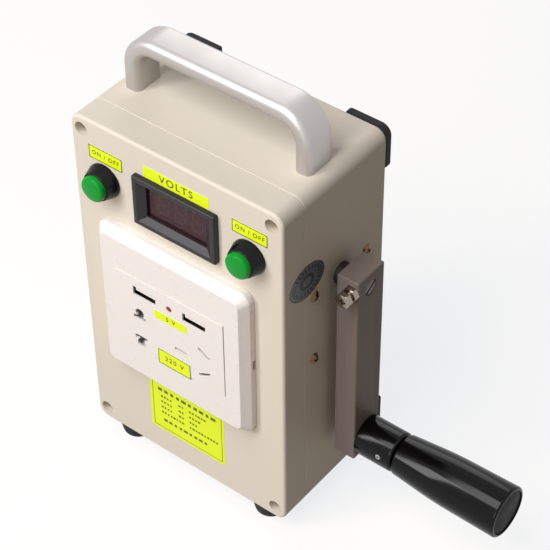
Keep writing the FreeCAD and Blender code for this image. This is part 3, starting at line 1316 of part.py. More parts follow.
def clamp_bolt():
    """Return the hexagonal bolt that locks the arm on the shaft."""
    seat = ARM_FACE - CLAMP_NUT_THICKNESS - CLAMP_GAP
    shank = rod(CLAMP_BOLT_RADIUS, on_clamp(seat), on_clamp(CLAMP_TIP))
    return shank.fuse(hexagon(CLAMP_ACROSS_FLATS, 0, on_clamp(seat), on_clamp(seat - CLAMP_HEAD_HEIGHT)))


# Grip

def on_grip(x):
    """Return a point of the grip's axis."""
    return Vector(x, SHAFT_Y, GRIP_Z)


def grip_collar():
    """Return the fixed collar between the arm and the grip."""
    bore = SPINDLE_RADIUS + SCREW_CLEARANCE
    outline = [(ARM_OUTER, bore), (ARM_OUTER, COLLAR_RADIUS)]
    outline += quarter(COLLAR_END - COLLAR_ROUND, COLLAR_RADIUS - COLLAR_ROUND, COLLAR_ROUND, 90, 0)
    outline.append((COLLAR_END, bore))
    hole = rod(COLLAR_SCREW_RADIUS + SCREW_CLEARANCE, on_collar_screw(SPINDLE_RADIUS - 1),
               on_collar_screw(COLLAR_RADIUS + 1))
    return turned(outline, on_grip(0), X_AXIS).cut(hole)


def on_collar_screw(radius):
    """Return a point of the set screw's axis, at a distance from the grip's axis."""
    angle = math.radians(COLLAR_SCREW_ANGLE)
    return Vector(ARM_OUTER + COLLAR_SCREW_FROM_ARM, SHAFT_Y + radius * math.cos(angle),
                  GRIP_Z + radius * math.sin(angle))


def collar_screw():
    """Return the set screw that holds the collar on the spindle."""
    outer_end = on_collar_screw(COLLAR_RADIUS - COLLAR_SCREW_SET_BACK)
    pin = rod(COLLAR_SCREW_RADIUS, on_collar_screw(0), outer_end)
    return pin.cut(rod(SPINDLE_RADIUS, on_grip(ARM_OUTER), on_grip(COLLAR_END)))


def grip_spindle():
    """Return the spindle that the grip turns on."""
    outline = [(ARM_INNER, 0), (ARM_INNER, SPINDLE_THREAD_RADIUS), (ARM_OUTER, SPINDLE_THREAD_RADIUS),
               (ARM_OUTER, SPINDLE_RADIUS), (SPINDLE_HEAD_X, SPINDLE_RADIUS),
               (SPINDLE_HEAD_X, SPINDLE_HEAD_RADIUS),
               (SPINDLE_HEAD_X + SPINDLE_HEAD_HEIGHT, SPINDLE_HEAD_RADIUS),
               (SPINDLE_HEAD_X + SPINDLE_HEAD_HEIGHT, 0)]
    return turned(outline, on_grip(0), X_AXIS)


def crank_grip():
    """Return the flared grip with its bore and head recess."""
    bore = SPINDLE_RADIUS + RUNNING_CLEARANCE
    recess = SPINDLE_HEAD_RADIUS + AXIAL_CLEARANCE
    cap_seat = GRIP_CAP_X - GRIP_CAP_THICKNESS
    cap_bore = GRIP_CAP_RADIUS + SCREW_CLEARANCE
    foot = (GRIP_START + GRIP_ROUND, GRIP_START_RADIUS)
    knee = (GRIP_START + GRIP_KNEE, GRIP_KNEE_RADIUS)
    rim = quarter(GRIP_END - GRIP_ROUND, GRIP_END_RADIUS - GRIP_ROUND, GRIP_ROUND, 90, 0)
    outline = [(GRIP_START, bore)]
    outline += quarter(GRIP_START + GRIP_ROUND, GRIP_START_RADIUS - GRIP_ROUND, GRIP_ROUND, 180, 90)
    outline += eased(foot, knee, rim[0], GRIP_KNEE_BLEND) + rim
    outline += [(GRIP_END, cap_bore), (cap_seat, cap_bore), (cap_seat, recess),
                (SPINDLE_HEAD_X - AXIAL_CLEARANCE, recess), (SPINDLE_HEAD_X - AXIAL_CLEARANCE, bore)]
    return turned(outline, on_grip(0), X_AXIS)


def grip_end_cap():
    """Return the cap that closes the end of the grip."""
    outline = [(GRIP_CAP_X - GRIP_CAP_THICKNESS, 0), (GRIP_CAP_X - GRIP_CAP_THICKNESS, GRIP_CAP_RADIUS),
               (GRIP_CAP_X, GRIP_CAP_RADIUS), (GRIP_CAP_X, 0)]
    return turned(outline, on_grip(0), X_AXIS)


# Converter board

def converter_board():
    """Return the bare circuit board on its four bosses."""
    return box(-BOARD_WIDTH / 2, BOARD_WIDTH / 2, BOARD_FRONT, BOARD_BACK, BOARD_BOTTOM,
               BOARD_BOTTOM + BOARD_HEIGHT)


def capacitor_places():
    """Return the two capacitors along the board, as x."""
    first = -BOARD_WIDTH / 2 + COMPONENT_GAP + CAPACITOR_RADIUS
    return [first, first + 2 * CAPACITOR_RADIUS + COMPONENT_GAP]


def board_capacitors():
    """Return the two can capacitors of the board."""
    z = BOARD_BOTTOM + BOARD_HEIGHT / 2
    return [rod(CAPACITOR_RADIUS, Vector(x, BOARD_FRONT - CAPACITOR_LENGTH, z), Vector(x, BOARD_FRONT, z))
            for x in capacitor_places()]


def board_coil():
    """Return the ring coil of the board."""
    x = capacitor_places()[1] + CAPACITOR_RADIUS + COMPONENT_GAP + COIL_RADIUS
    z = BOARD_BOTTOM + BOARD_HEIGHT / 2
    return tube(COIL_RADIUS, COIL_BORE, Vector(x, BOARD_FRONT - COIL_HEIGHT, z), Vector(x, BOARD_FRONT, z))


def board_heat_sink():
    """Return the finned heat sink of the board."""
    x0 = BOARD_WIDTH / 2 - SINK_WIDTH
    x1 = BOARD_WIDTH / 2
    z0 = BOARD_BOTTOM + (BOARD_HEIGHT - SINK_HEIGHT) / 2
    z1 = z0 + SINK_HEIGHT
    pieces = [box(x0, x1, BOARD_FRONT - SINK_BASE, BOARD_FRONT, z0, z1)]
    step = (SINK_WIDTH - SINK_FIN_THICKNESS) / (SINK_FINS - 1)
    for index in range(SINK_FINS):
        fin = x0 + index * step
        pieces.append(box(fin, fin + SINK_FIN_THICKNESS, BOARD_FRONT - SINK_DEPTH, BOARD_FRONT - SINK_BASE,
                          z0, z1))
    return fused(pieces)


PIECES = {
    "base_shell": base_shell,
    "front_lid": front_lid,
    "lid_seal": lid_seal,
    "lid_screws": lid_screws,
    "rubber_feet": rubber_feet,
    "foot_screws": foot_screws,
    "rear_pads": rear_pads,
    "carry_handle": carry_handle,
    "handle_screws": handle_screws,
    "meter_bezel": meter_bezel,
    "meter_lens": meter_lens,
    "meter_display": meter_display,
    "button_housing_left": lambda: button_housing(-BUTTON_X),
    "button_housing_right": lambda: button_housing(BUTTON_X),
    "button_cap_left": lambda: button_cap(-BUTTON_X),
    "button_cap_right": lambda: button_cap(BUTTON_X),
    "button_spring_left": lambda: button_spring(-BUTTON_X),
    "button_spring_right": lambda: button_spring(BUTTON_X),
    "button_nuts": button_nuts,
    "button_terminals": button_terminals,
    "socket_plate": socket_plate,
    "socket_frame": socket_frame,
    "socket_screws": socket_screws,
    "socket_insert": socket_insert,
    "socket_body": socket_body,
    "socket_contacts": socket_contacts,
    "usb_shells": usb_shells,
    "usb_tongues": usb_tongues,
    "power_led": power_led,
    "gearbox_outer_plate": gearbox_outer_plate,
    "gearbox_inner_plate": gearbox_inner_plate,
    "gearbox_pillars": gearbox_pillars,
    "gearbox_screws": gearbox_screws,
    "gearbox_bushes": gearbox_bushes,
    "wall_screws": wall_screws,
    "crank_bushing": crank_bushing,
    "crank_gear": crank_gear,
    "idler_gear": idler_gear,
    "idler_axle": idler_axle,
    "generator_pinion": generator_pinion,
    "generator_can": generator_can,
    "generator_end_cap": generator_end_cap,
    "generator_brushes": generator_brushes,
    "generator_magnets": generator_magnets,
    "rotor_core": rotor_core,
    "rotor_shaft": rotor_shaft,
    "crank_shaft": crank_shaft,
    "crank_arm": crank_arm,
    "clamp_bolt": clamp_bolt,
    "clamp_nut": clamp_nut,
    "grip_collar": grip_collar,
    "collar_screw": collar_screw,
    "grip_spindle": grip_spindle,
    "crank_grip": crank_grip,
    "grip_end_cap": grip_end_cap,
    "converter_board": converter_board,
    "board_capacitors": board_capacitors,
    "board_coil": board_coil,
    "board_heat_sink": board_heat_sink,
}


def main():
    """Write one STEP file for each piece or group of like pieces."""
    os.makedirs("parts", exist_ok=True)
    for name, make in PIECES.items():
        shape = make()
        if isinstance(shape, list):
            shape = Part.makeCompound(shape)
        shape.exportStep(f"parts/{name}.step")


main()
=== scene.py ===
"""Finished look of a hand crank generator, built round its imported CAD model.

Sizes are millimetres in the CAD model's frame and become metres where a mesh is made. X runs to the crank
side, Y runs from the lid to the back and Z runs up from the plane under the feet.
"""

import logging
import math
from collections.abc import Sequence
from dataclasses import dataclass, field
from enum import Enum

import bmesh
import bpy
import numpy as np
from mathutils import Matrix, Vector


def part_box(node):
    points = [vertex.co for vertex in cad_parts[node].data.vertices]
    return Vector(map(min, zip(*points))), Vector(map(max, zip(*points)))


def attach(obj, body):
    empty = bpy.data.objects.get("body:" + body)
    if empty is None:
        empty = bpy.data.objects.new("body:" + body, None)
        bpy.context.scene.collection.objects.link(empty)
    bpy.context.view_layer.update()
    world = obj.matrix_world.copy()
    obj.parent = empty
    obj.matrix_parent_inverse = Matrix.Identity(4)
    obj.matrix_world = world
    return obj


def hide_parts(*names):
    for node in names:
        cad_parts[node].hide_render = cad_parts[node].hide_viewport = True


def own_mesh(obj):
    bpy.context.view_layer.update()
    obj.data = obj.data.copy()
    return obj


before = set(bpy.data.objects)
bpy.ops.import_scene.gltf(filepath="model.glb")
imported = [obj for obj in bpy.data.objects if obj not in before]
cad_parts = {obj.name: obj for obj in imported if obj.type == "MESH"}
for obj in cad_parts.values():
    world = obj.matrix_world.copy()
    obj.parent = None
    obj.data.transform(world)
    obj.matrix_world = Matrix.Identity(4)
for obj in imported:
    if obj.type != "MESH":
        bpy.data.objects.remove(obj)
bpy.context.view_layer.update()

LOG = logging.getLogger("generator")
MM = 0.001
ON_AXIS = 1e-6
WELD_DISTANCE = 2e-6
SHARP_ANGLE = 32.0
FLAT_ANGLE = 0.4
Colour = tuple[float, float, float, float]
Outline = list[tuple[float, float]]


def paint(red: int, green: int, blue: int) -> Colour:
    """Turn a screen colour into a linear one.

    Args:
        red: The screen's red, 0 to 255.
        green: Its green.
        blue: Its blue.

    Returns:
        The linear colour, opaque.
    """
    levels = []
    for level in (red, green, blue):
        share = level / 255
        levels.append(share / 12.92 if share <= 0.04045 else ((share + 0.055) / 1.055) ** 2.4)
    return (levels[0], levels[1], levels[2], 1.0)


class Axis(Enum):
    """A direction of the CAD frame."""

    X = (1.0, 0.0, 0.0)
    Y = (0.0, 1.0, 0.0)
    Z = (0.0, 0.0, 1.0)

    @property
    def vector(self) -> Vector:
        """Return the direction as a vector."""
        return Vector(self.value)

    @property
    def across(self) -> tuple[Vector, Vector]:
        """Return two directions across this one, in right-handed order."""
        names = list(Axis)
        here = names.index(self)
        return names[(here + 1) % 3].vector, names[(here + 2) % 3].vector


class Body(Enum):
    """The bodies that pieces ride on."""

    CASE = "case"
    CRANK = "crank"
    GRIP = "grip"
    BUTTON_LEFT = "button_left"
    BUTTON_RIGHT = "button_right"


# Finishes


class ShaderTree:
    """A material's nodes, with short calls for what the finishes need."""

    def __init__(self, name: str) -> None:
        """Make an empty material.

        Args:
            name: The material's name.
        """
        self.material = bpy.data.materials.new(name)
        self.material.use_nodes = True
        self.tree = self.material.node_tree
        self.shader = self.tree.nodes["Principled BSDF"]

    def settle(self, **values: float | Colour) -> None:
        """Set the shader's own sockets, named with underscores for spaces."""
        for name, value in values.items():
            self.shader.inputs[name.replace("_", " ")].default_value = value

    def add(self, kind: str, **values: object) -> bpy.types.Node:
        """Add a node.

        Args:
            kind: The node's type.
            values: Input values or output sockets to link, named with underscores for spaces.

        Returns:
            The new node.
        """
        node = self.tree.nodes.new(kind)
        for name, value in values.items():
            socket = node.inputs[name.replace("_", " ")]
            if isinstance(value, bpy.types.NodeSocket):
                self.tree.links.new(value, socket)
            else:
                socket.default_value = value
        return node

    def place(self, stretch: tuple[float, float, float] = (1.0, 1.0, 1.0)) -> bpy.types.NodeSocket:
        """Return the piece's own coordinates, stretched."""
        coordinates = self.add("ShaderNodeTexCoord")
        mapping = self.add("ShaderNodeMapping", Vector=coordinates.outputs["Object"], Scale=stretch)
        return mapping.outputs["Vector"]

    def noise(self, scale: float, detail: float,
              stretch: tuple[float, float, float] = (1.0, 1.0, 1.0)) -> bpy.types.NodeSocket:
        """Return a noise of that many waves to the metre."""
        node = self.add("ShaderNodeTexNoise", Vector=self.place(stretch), Scale=scale, Detail=detail)
        return node.outputs["Fac"]

    def blend(self, amount: bpy.types.NodeSocket, low: Colour, high: Colour) -> bpy.types.NodeSocket:
        """Mix two colours.

        Args:
            amount: The socket that says how much of the second there is.
            low: The first colour.
            high: The second colour.

        Returns:
            The socket with the mixed colour.
        """
        node = self.tree.nodes.new("ShaderNodeMix")
        node.data_type = "RGBA"
        self.tree.links.new(amount, node.inputs[0])
        node.inputs[6].default_value = low
        node.inputs[7].default_value = high
        return node.outputs[2]

    def spread(self, amount: bpy.types.NodeSocket, low: float, high: float) -> bpy.types.NodeSocket:
        """Return a number between two, by an amount."""
        node = self.add("ShaderNodeMapRange", Value=amount, From_Min=0.3, From_Max=0.7, To_Min=low,
                        To_Max=high)
        return node.outputs["Result"]

    def colour_from(self, socket: bpy.types.NodeSocket) -> None:
        """Drive the base colour."""
        self.tree.links.new(socket, self.shader.inputs["Base Color"])

    def roughness_from(self, socket: bpy.types.NodeSocket) -> None:
        """Drive the roughness."""
        self.tree.links.new(socket, self.shader.inputs["Roughness"])

    def bump(self, height: bpy.types.NodeSocket, strength: float, depth: float) -> None:
        """Raise the surface by a height, with a depth in millimetres."""
        node = self.add("ShaderNodeBump", Height=height, Strength=strength, Distance=depth * MM)
        self.tree.links.new(node.outputs["Normal"], self.shader.inputs["Normal"])


def shade(colour: Colour, factor: float) -> Colour:
    """Return a colour made lighter or darker."""
    red, green, blue, opacity = colour
    return (min(red * factor, 1.0), min(green * factor, 1.0), min(blue * factor, 1.0), opacity)


@dataclass(frozen=True)
class Finish:
    """What every finish has: a name, a colour and a roughness."""

    name: str
    colour: Colour
    roughness: float = 0.5

    def material(self) -> bpy.types.Material:
        """Return the finish's material, made once."""
        found = bpy.data.materials.get(self.name)
        if found is not None:
            return found
        tree = ShaderTree(self.name)
        tree.settle(Base_Color=self.colour, Roughness=self.roughness)
        self.dress(tree)
        return tree.material

    def dress(self, tree: ShaderTree) -> None:
        """Add what is special to the finish."""


@dataclass(frozen=True)
class MouldedPlastic(Finish):
    """Matt plastic from an eroded mould, with a fine grain."""

    grain: float = 0.12
    mottle: float = 0.03
    waves: float = 1400.0
    cloud_waves: float = 14.0
    depth: float = 0.2
    specular: float = 0.4

    def dress(self, tree: ShaderTree) -> None:
        """Add the grain and faint clouds of colour.

        Args:
            tree: The material in the making.
        """
        clouds = tree.noise(self.cloud_waves, 3.0)
        tree.colour_from(tree.blend(clouds, shade(self.colour, 1 - self.mottle),
                                    shade(self.colour, 1 + self.mottle)))
        tree.bump(tree.noise(self.waves, 2.0), self.grain, self.depth)
        tree.settle(Specular_IOR_Level=self.specular)


@dataclass(frozen=True)
class GlossPlastic(Finish):
    """Polished plastic with faint waviness and handling marks."""

    roughness: float = 0.12
    specular: float = 0.5
    wave: float = 0.1
    waves: float = 55.0
    depth: float = 0.3
    smear_waves: float = 90.0
    polish: tuple[float, float] = (0.8, 1.3)

    def dress(self, tree: ShaderTree) -> None:
        """Add the waviness and the uneven polish.

        Args:
            tree: The material in the making.
        """
        tree.settle(Specular_IOR_Level=self.specular)
        smears = tree.noise(self.smear_waves, 4.0)
        least, most = self.polish
        tree.roughness_from(tree.spread(smears, self.roughness * least, self.roughness * most))
        tree.bump(tree.noise(self.waves, 1.0), self.wave, self.depth)


@dataclass(frozen=True)
class BrushedMetal(Finish):
    """Metal with fine scratches along one direction."""

    along: Axis = Axis.Z
    metal: float = 1.0
    scratch: float = 0.25
    waves: float = 900.0
    stretch: float = 0.02
    polish: tuple[float, float] = (0.8, 1.2)
    relief: float = 0.15
    depth: float = 0.1
    specular: float = 0.5

    def dress(self, tree: ShaderTree) -> None:
        """Add the scratches to the colour, the roughness and the surface.

        Args:
            tree: The material in the making.
        """
        stretch = tuple(self.stretch if part else 1.0 for part in self.along.value)
        scratches = tree.noise(self.waves, 3.0, stretch)
        tree.colour_from(tree.blend(scratches, shade(self.colour, 1 - self.scratch),
                                    shade(self.colour, 1 + self.scratch)))
        least, most = self.polish
        tree.roughness_from(tree.spread(scratches, self.roughness * least, self.roughness * most))
        tree.bump(scratches, self.relief, self.depth)
        tree.settle(Metallic=self.metal, Specular_IOR_Level=self.specular)


@dataclass(frozen=True)
class SatinMetal(Finish):
    """Blasted or plated metal with an even, very fine surface."""

    metal: float = 1.0
    grain: float = 0.08
    waves: float = 2600.0
    depth: float = 0.1
    sheen_waves: float = 45.0
    polish: tuple[float, float] = (0.9, 1.1)

    def dress(self, tree: ShaderTree) -> None:
        """Add the fine grain and slow changes of sheen.

        Args:
            tree: The material in the making.
        """
        tree.settle(Metallic=self.metal)
        sheen = tree.noise(self.sheen_waves, 2.0)
        least, most = self.polish
        tree.roughness_from(tree.spread(sheen, self.roughness * least, self.roughness * most))
        tree.bump(tree.noise(self.waves, 1.0), self.grain, self.depth)


@dataclass(frozen=True)
class SoftRubber(Finish):
    """Matt rubber with a dusty bloom."""

    roughness: float = 0.75
    bloom: float = 2.2
    bloom_waves: float = 160.0
    waves: float = 1100.0
    grain: float = 0.2
    depth: float = 0.15
    specular: float = 0.3

    def dress(self, tree: ShaderTree) -> None:
        """Add the bloom and the moulded grain.

        Args:
            tree: The material in the making.
        """
        dust = tree.noise(self.bloom_waves, 5.0)
        tree.colour_from(tree.blend(dust, self.colour, shade(self.colour, self.bloom)))
        tree.bump(tree.noise(self.waves, 2.0), self.grain, self.depth)
        tree.settle(Specular_IOR_Level=self.specular)


@dataclass(frozen=True)
class Vinyl(Finish):
    """Printed sticker film, nearly flat."""

    roughness: float = 0.42
    waves: float = 120.0
    relief: float = 0.12
    depth: float = 0.2
    specular: float = 0.4

    def dress(self, tree: ShaderTree) -> None:
        """Add the slight waves of a film stuck down by hand."""
        tree.bump(tree.noise(self.waves, 2.0), self.relief, self.depth)
        tree.settle(Specular_IOR_Level=self.specular)


@dataclass(frozen=True)
class TintedWindow(Finish):
    """A clear window with a dark tint that lets some light through."""

    roughness: float = 0.06
    opacity: float = 0.55
    coat: float = 0.15
    coat_roughness: float = 0.04
    specular: float = 0.3

    def dress(self, tree: ShaderTree) -> None:
        """Let light through and keep the polish."""
        tree.settle(Alpha=self.opacity, Specular_IOR_Level=self.specular)
        tree.settle(Coat_Weight=self.coat, Coat_Roughness=self.coat_roughness)


@dataclass(frozen=True)
class WornMetal(Finish):
    """Turned, drawn or cast metal of the inner works, with a mottled skin."""

    metal: float = 1.0
    mottle: float = 0.18
    waves: float = 220.0
    relief: float = 0.1
    depth: float = 0.1

    def dress(self, tree: ShaderTree) -> None:
        """Add the mottled skin.

        Args:
            tree: The material in the making.
        """
        skin = tree.noise(self.waves, 4.0)
        tree.colour_from(tree.blend(skin, shade(self.colour, 1 - self.mottle),
                                    shade(self.colour, 1 + self.mottle)))
        tree.bump(skin, self.relief, self.depth)
        tree.settle(Metallic=self.metal)


CASE_PLASTIC = MouldedPlastic("case_plastic_beige", paint(222, 213, 198), 0.55)
SEAL_RUBBER = SoftRubber("seal_rubber_black", paint(28, 28, 28))
FOOT_RUBBER = SoftRubber("foot_rubber_black", paint(26, 24, 25))
HANDLE_METAL = SatinMetal("handle_satin_aluminium", paint(190, 185, 183), 0.42, metal=0.85)
PLATED_STEEL = SatinMetal("screw_plated_steel", paint(150, 140, 128), 0.24)
# Partly the screws' brownish plating and partly painted shade: the base is made darker to stand in for dark
# reflections on the shaded right wall.
BRONZED_STEEL_PAINTED_SHADE = SatinMetal("wall_screw_bronzed_steel_painted_shade", paint(104, 80, 62), 0.28)
# Painted shade: the shaft's steel is made dark so that its end face, on the shaded right side, reads dark.
AXLE_STEEL_PAINTED_SHADE = SatinMetal("axle_steel_painted_shade", paint(74, 64, 61), 0.3)
# Painted shade: the bushing's bronze is made nearly black to stand in for the shadow it sits in beside the
# arm.
BUSH_BRONZE_PAINTED_SHADE = SatinMetal("bush_bronze_painted_shade", paint(30, 20, 16), 0.5, metal=0.3)
SET_SCREW_STEEL = SatinMetal("set_screw_grey_steel", paint(168, 163, 160), 0.5)
BEZEL_PLASTIC = MouldedPlastic("bezel_satin_black", paint(46, 42, 45), 0.3, grain=0.06,
                              specular=0.22)
LENS_TINT = TintedWindow("lens_dark_maroon", paint(64, 26, 34))
DISPLAY_FACE = GlossPlastic("display_face", paint(100, 48, 56), 0.4, specular=0.2)
DISPLAY_SEGMENT = GlossPlastic("display_segment_unlit", paint(196, 134, 144), 0.45, specular=0.2)
BLACK_PLASTIC = GlossPlastic("button_housing_black", paint(14, 13, 14), 0.18, specular=0.2)
GREEN_PLASTIC = GlossPlastic("button_cap_green", paint(4, 148, 44), 0.24, specular=0.15)
SPRING_STEEL = SatinMetal("spring_bright_steel", paint(196, 194, 190), 0.22)
BRASS = SatinMetal("contact_brass", paint(214, 182, 108), 0.28)
# Painted shade: the outlet contacts' brass is made dark and dull so that the outlet holes read dark.
CONTACT_METAL_PAINTED_SHADE = SatinMetal("outlet_contact_brass_painted_shade", paint(70, 56, 36), 0.5, metal=0.5)
SOCKET_BODY = MouldedPlastic("socket_body_matt_black", paint(10, 10, 10), 0.7, specular=0.1)
SOCKET_PLASTIC = GlossPlastic("socket_white", paint(240, 233, 228), 0.3, specular=0.3, wave=0.02)
# Painted shade: the port shells' steel is made dark so that the inside of the charging ports reads dark.
PORT_STEEL_PAINTED_SHADE = SatinMetal("port_steel_painted_shade", paint(88, 86, 86), 0.25)
LED_RESIN = GlossPlastic("led_red", paint(150, 22, 22), 0.2, specular=0.3)
GEARBOX_STEEL = BrushedMetal("gearbox_plated_sheet", paint(186, 184, 180), 0.35, along=Axis.Y)
GEAR_NYLON = MouldedPlastic("gear_natural_nylon", paint(236, 232, 214), 0.45, grain=0.05)
GEAR_STEEL = WornMetal("gear_machined_steel", paint(160, 158, 155), 0.35)
CAN_STEEL = BrushedMetal("can_drawn_steel", paint(176, 174, 172), 0.3, along=Axis.X)
CORE_IRON = WornMetal("core_laminated_iron", paint(112, 108, 104), 0.45)
FERRITE = MouldedPlastic("magnet_ferrite", paint(58, 56, 56), 0.6, grain=0.2)
CARBON = MouldedPlastic("brush_carbon", paint(48, 47, 47), 0.5, grain=0.15)
ARM_STEEL = BrushedMetal("arm_drawn_steel", paint(134, 121, 116), 0.42, metal=0.0, scratch=0.14,
                         specular=0.1)
GRIP_PLASTIC = GlossPlastic("grip_gloss_black", paint(8, 7, 8), 0.12, specular=0.18)
GRIP_CAP_PLASTIC = GlossPlastic("grip_cap_satin_black", paint(8, 7, 8), 0.35, specular=0.04)
LAMINATE = MouldedPlastic("board_green_laminate", paint(40, 108, 66), 0.4, grain=0.04)
SLEEVE = GlossPlastic("capacitor_sleeve_blue", paint(44, 62, 112), 0.25)
COPPER = SatinMetal("coil_copper", paint(206, 132, 92), 0.3)
SINK_METAL = BrushedMetal("sink_extruded_aluminium", paint(190, 190, 192), 0.4, along=Axis.Z)
LABEL_FILM = Vinyl("label_yellow_film", paint(232, 250, 18))
INK = Vinyl("label_black_ink", paint(40, 43, 12), 0.5)
FAINT_INK = Vinyl("label_olive_ink", paint(92, 100, 18), 0.5)
STICKER_FILM = Vinyl("sticker_grey_film", paint(122, 130, 138), 0.3)
STICKER_RING = Vinyl("sticker_dark_print", paint(50, 54, 62), 0.35)


# Meshes


def soften(corners: Sequence[tuple[float, float, float]], steps: int = 5) -> Outline:
    """Round the corners of an outline.

    Args:
        corners: (along, across, radius) corners, where radius 0 keeps a corner sharp.
        steps: Straight stretches in each rounded corner.

    Returns:
        The outline's points.
    """
    outline: Outline = []
    count = len(corners)
    for index, (along, across, radius) in enumerate(corners):
        here = Vector((along, across))
        if radius <= 0:
            outline.append((along, across))
            continue
        before = (Vector(corners[index - 1][:2]) - here).normalized()
        after = (Vector(corners[(index + 1) % count][:2]) - here).normalized()
        half = before.angle(after) / 2
        centre = here + (before + after).normalized() * radius / math.sin(half)
        start = here + before * radius / math.tan(half) - centre
        stop = here + after * radius / math.tan(half) - centre
        sweep = math.pi - 2 * half
        for step in range(steps + 1):
            share = step / steps
            turned = start * math.sin((1 - share) * sweep) + stop * math.sin(share * sweep)
            point = centre + turned / math.sin(sweep)
            outline.append((point.x, point.y))
    return outline


@dataclass
class Solid:
    """A mesh in the making, in millimetres, with a finish number for each face."""

    points: list[Vector] = field(default_factory=list)
    faces: list[tuple[int, ...]] = field(default_factory=list)
    finishes: list[int] = field(default_factory=list)

    def add(self, points: Sequence[Vector], faces: Sequence[tuple[int, ...]], finish: int = 0) -> "Solid":
        """Add a shell.

        Args:
            points: The shell's corners.
            faces: Its faces, by corner number.
            finish: Which of the piece's finishes it has.

        Returns:
            This solid.
        """
        first = len(self.points)
        self.points.extend(Vector(point) for point in points)
        self.faces.extend(tuple(first + corner for corner in face) for face in faces)
        self.finishes.extend([finish] * len(faces))
        return self

    def lathe(self, outline: Outline, centre: Vector, axis: Axis, segments: int = 64,
              finish: int = 0) -> "Solid":
        """Add a turned shell.

        Args:
            outline: (distance along the axis, radius) points, which close on themselves unless they end
                on the axis.
            centre: A point of the axis.
            axis: The axis.
            segments: Faces round the shell.
            finish: Which of the piece's finishes it has.

        Returns:
            This solid.
        """
        side, other = axis.across
        rings: list[list[int]] = []
        points: list[Vector] = []
        for along, radius in outline:
            middle = centre + axis.vector * along
            if radius < ON_AXIS:
                rings.append([len(points)] * segments)
                points.append(middle)
                continue
            rings.append(list(range(len(points), len(points) + segments)))
            for index in range(segments):
                angle = 2 * math.pi * index / segments
                points.append(middle + (side * math.cos(angle) + other * math.sin(angle)) * radius)
        open_ended = outline[0][1] < ON_AXIS and outline[-1][1] < ON_AXIS
        pairs = list(zip(rings, rings[1:]))
        if not open_ended:
            pairs.append((rings[-1], rings[0]))
        return self.add(points, bridge(pairs, segments), finish)

    def loft(self, rings: Sequence[Sequence[Vector]], closed: bool = False, finish: int = 0) -> "Solid":
        """Add a shell through rings of equal length.

        Args:
            rings: The rings, in order.
            closed: Whether the last ring joins the first. If not, both ends are capped.
            finish: Which of the piece's finishes it has.

        Returns:
            This solid.
        """
        count = len(rings[0])
        numbers = [list(range(index * count, (index + 1) * count)) for index in range(len(rings))]
        pairs = list(zip(numbers, numbers[1:]))
        if closed:
            pairs.append((numbers[-1], numbers[0]))
        faces = bridge(pairs, count)
        if not closed:
            faces += [tuple(reversed(numbers[0])), tuple(numbers[-1])]
        return self.add([point for ring in rings for point in ring], faces, finish)

    def block(self, low: Vector, high: Vector, finish: int = 0) -> "Solid":
        """Add a block.

        Args:
            low: Its lowest corner.
            high: Its highest corner.
            finish: Which of the piece's finishes it has.

        Returns:
            This solid.
        """
        floor = ((low.x, low.y), (high.x, low.y), (high.x, high.y), (low.x, high.y))
        base = [Vector((x, y, low.z)) for x, y in floor]
        roof = [Vector((point.x, point.y, high.z)) for point in base]
        return self.loft([base, roof], finish=finish)

    def mesh(self, name: str) -> bpy.types.Mesh:
        """Turn the solid into a mesh.

        Args:
            name: The mesh's name.

        Returns:
            The mesh in metres, not yet settled.
        """
        mesh = bpy.data.meshes.new(name)
        mesh.from_pydata([tuple(point * MM) for point in self.points], [], self.faces)
        mesh.polygons.foreach_set("material_index", self.finishes)
        return mesh


def bridge(pairs: Sequence[tuple[list[int], list[int]]], count: int) -> list[tuple[int, ...]]:
    """Join pairs of rings with faces.

    Args:
        pairs: The rings' corner numbers, pair by pair.
        count: The corners of a ring.

    Returns:
        The faces, with triangles where a ring is one point.
    """
    faces: list[tuple[int, ...]] = []
    for first, second in pairs:
        for index in range(count):
            after = (index + 1) % count
            corners = [first[index], first[after], second[after], second[index]]
            kept = [corner for place, corner in enumerate(corners) if corner not in corners[:place]]
            if len(kept) > 2:
                faces.append(tuple(kept))
    return faces


def rounded_ring(width: float, height: float, radius: float, x: float, z: float, y: float,
                 steps: int = 6) -> list[Vector]:
    """Return a rounded rectangle that faces the front.

    Args:
        width: Its size along X.
        height: Its size along Z.
        radius: Its corners' radius.
        x: Its middle along X.
        z: Its middle along Z.
        y: Its depth.
        steps: Straight stretches in each corner.

    Returns:
        The rectangle's points.
    """
    points = []
    for turn, (side, rise) in enumerate(((1, 1), (-1, 1), (-1, -1), (1, -1))):
        for step in range(steps + 1):
            angle = math.pi / 2 * (turn + step / steps)
            points.append(Vector((x + side * (width / 2 - radius) + radius * math.cos(angle), y,
                                  z + rise * (height / 2 - radius) + radius * math.sin(angle))))
    return points


def settle_mesh(mesh: bpy.types.Mesh, crease: float = SHARP_ANGLE, turn_out: bool = True) -> bpy.types.Mesh:
    """Weld a mesh, turn its faces outwards and shade it smooth between sharp edges.

    Args:
        mesh: The mesh, changed in place.
        crease: The least angle in degrees that stays sharp.
        turn_out: Whether its normals are worked out again.

    Returns:
        The same mesh.
    """
    work = bmesh.new()
    work.from_mesh(mesh)
    bmesh.ops.remove_doubles(work, verts=work.verts, dist=WELD_DISTANCE)
    if turn_out:
        bmesh.ops.recalc_face_normals(work, faces=work.faces)
    work.to_mesh(mesh)
    work.free()
    mesh.shade_smooth()
    mesh.set_sharp_from_angle(angle=math.radians(crease))
    return mesh


def link(name: str, mesh: bpy.types.Mesh) -> bpy.types.Object:
    """Return a new object at the origin that shows a mesh."""
    thing = bpy.data.objects.new(name, mesh)
    bpy.context.scene.collection.objects.link(thing)
    return thing


def freeze(thing: bpy.types.Object) -> bpy.types.Object:
    """Turn an object's modifiers into its mesh.

    Args:
        thing: The object, changed in place.

    Returns:
        The same object.
    """
    graph = bpy.context.evaluated_depsgraph_get()
    mesh = bpy.data.meshes.new_from_object(thing.evaluated_get(graph))
    thing.modifiers.clear()
    thing.data = mesh
    return thing


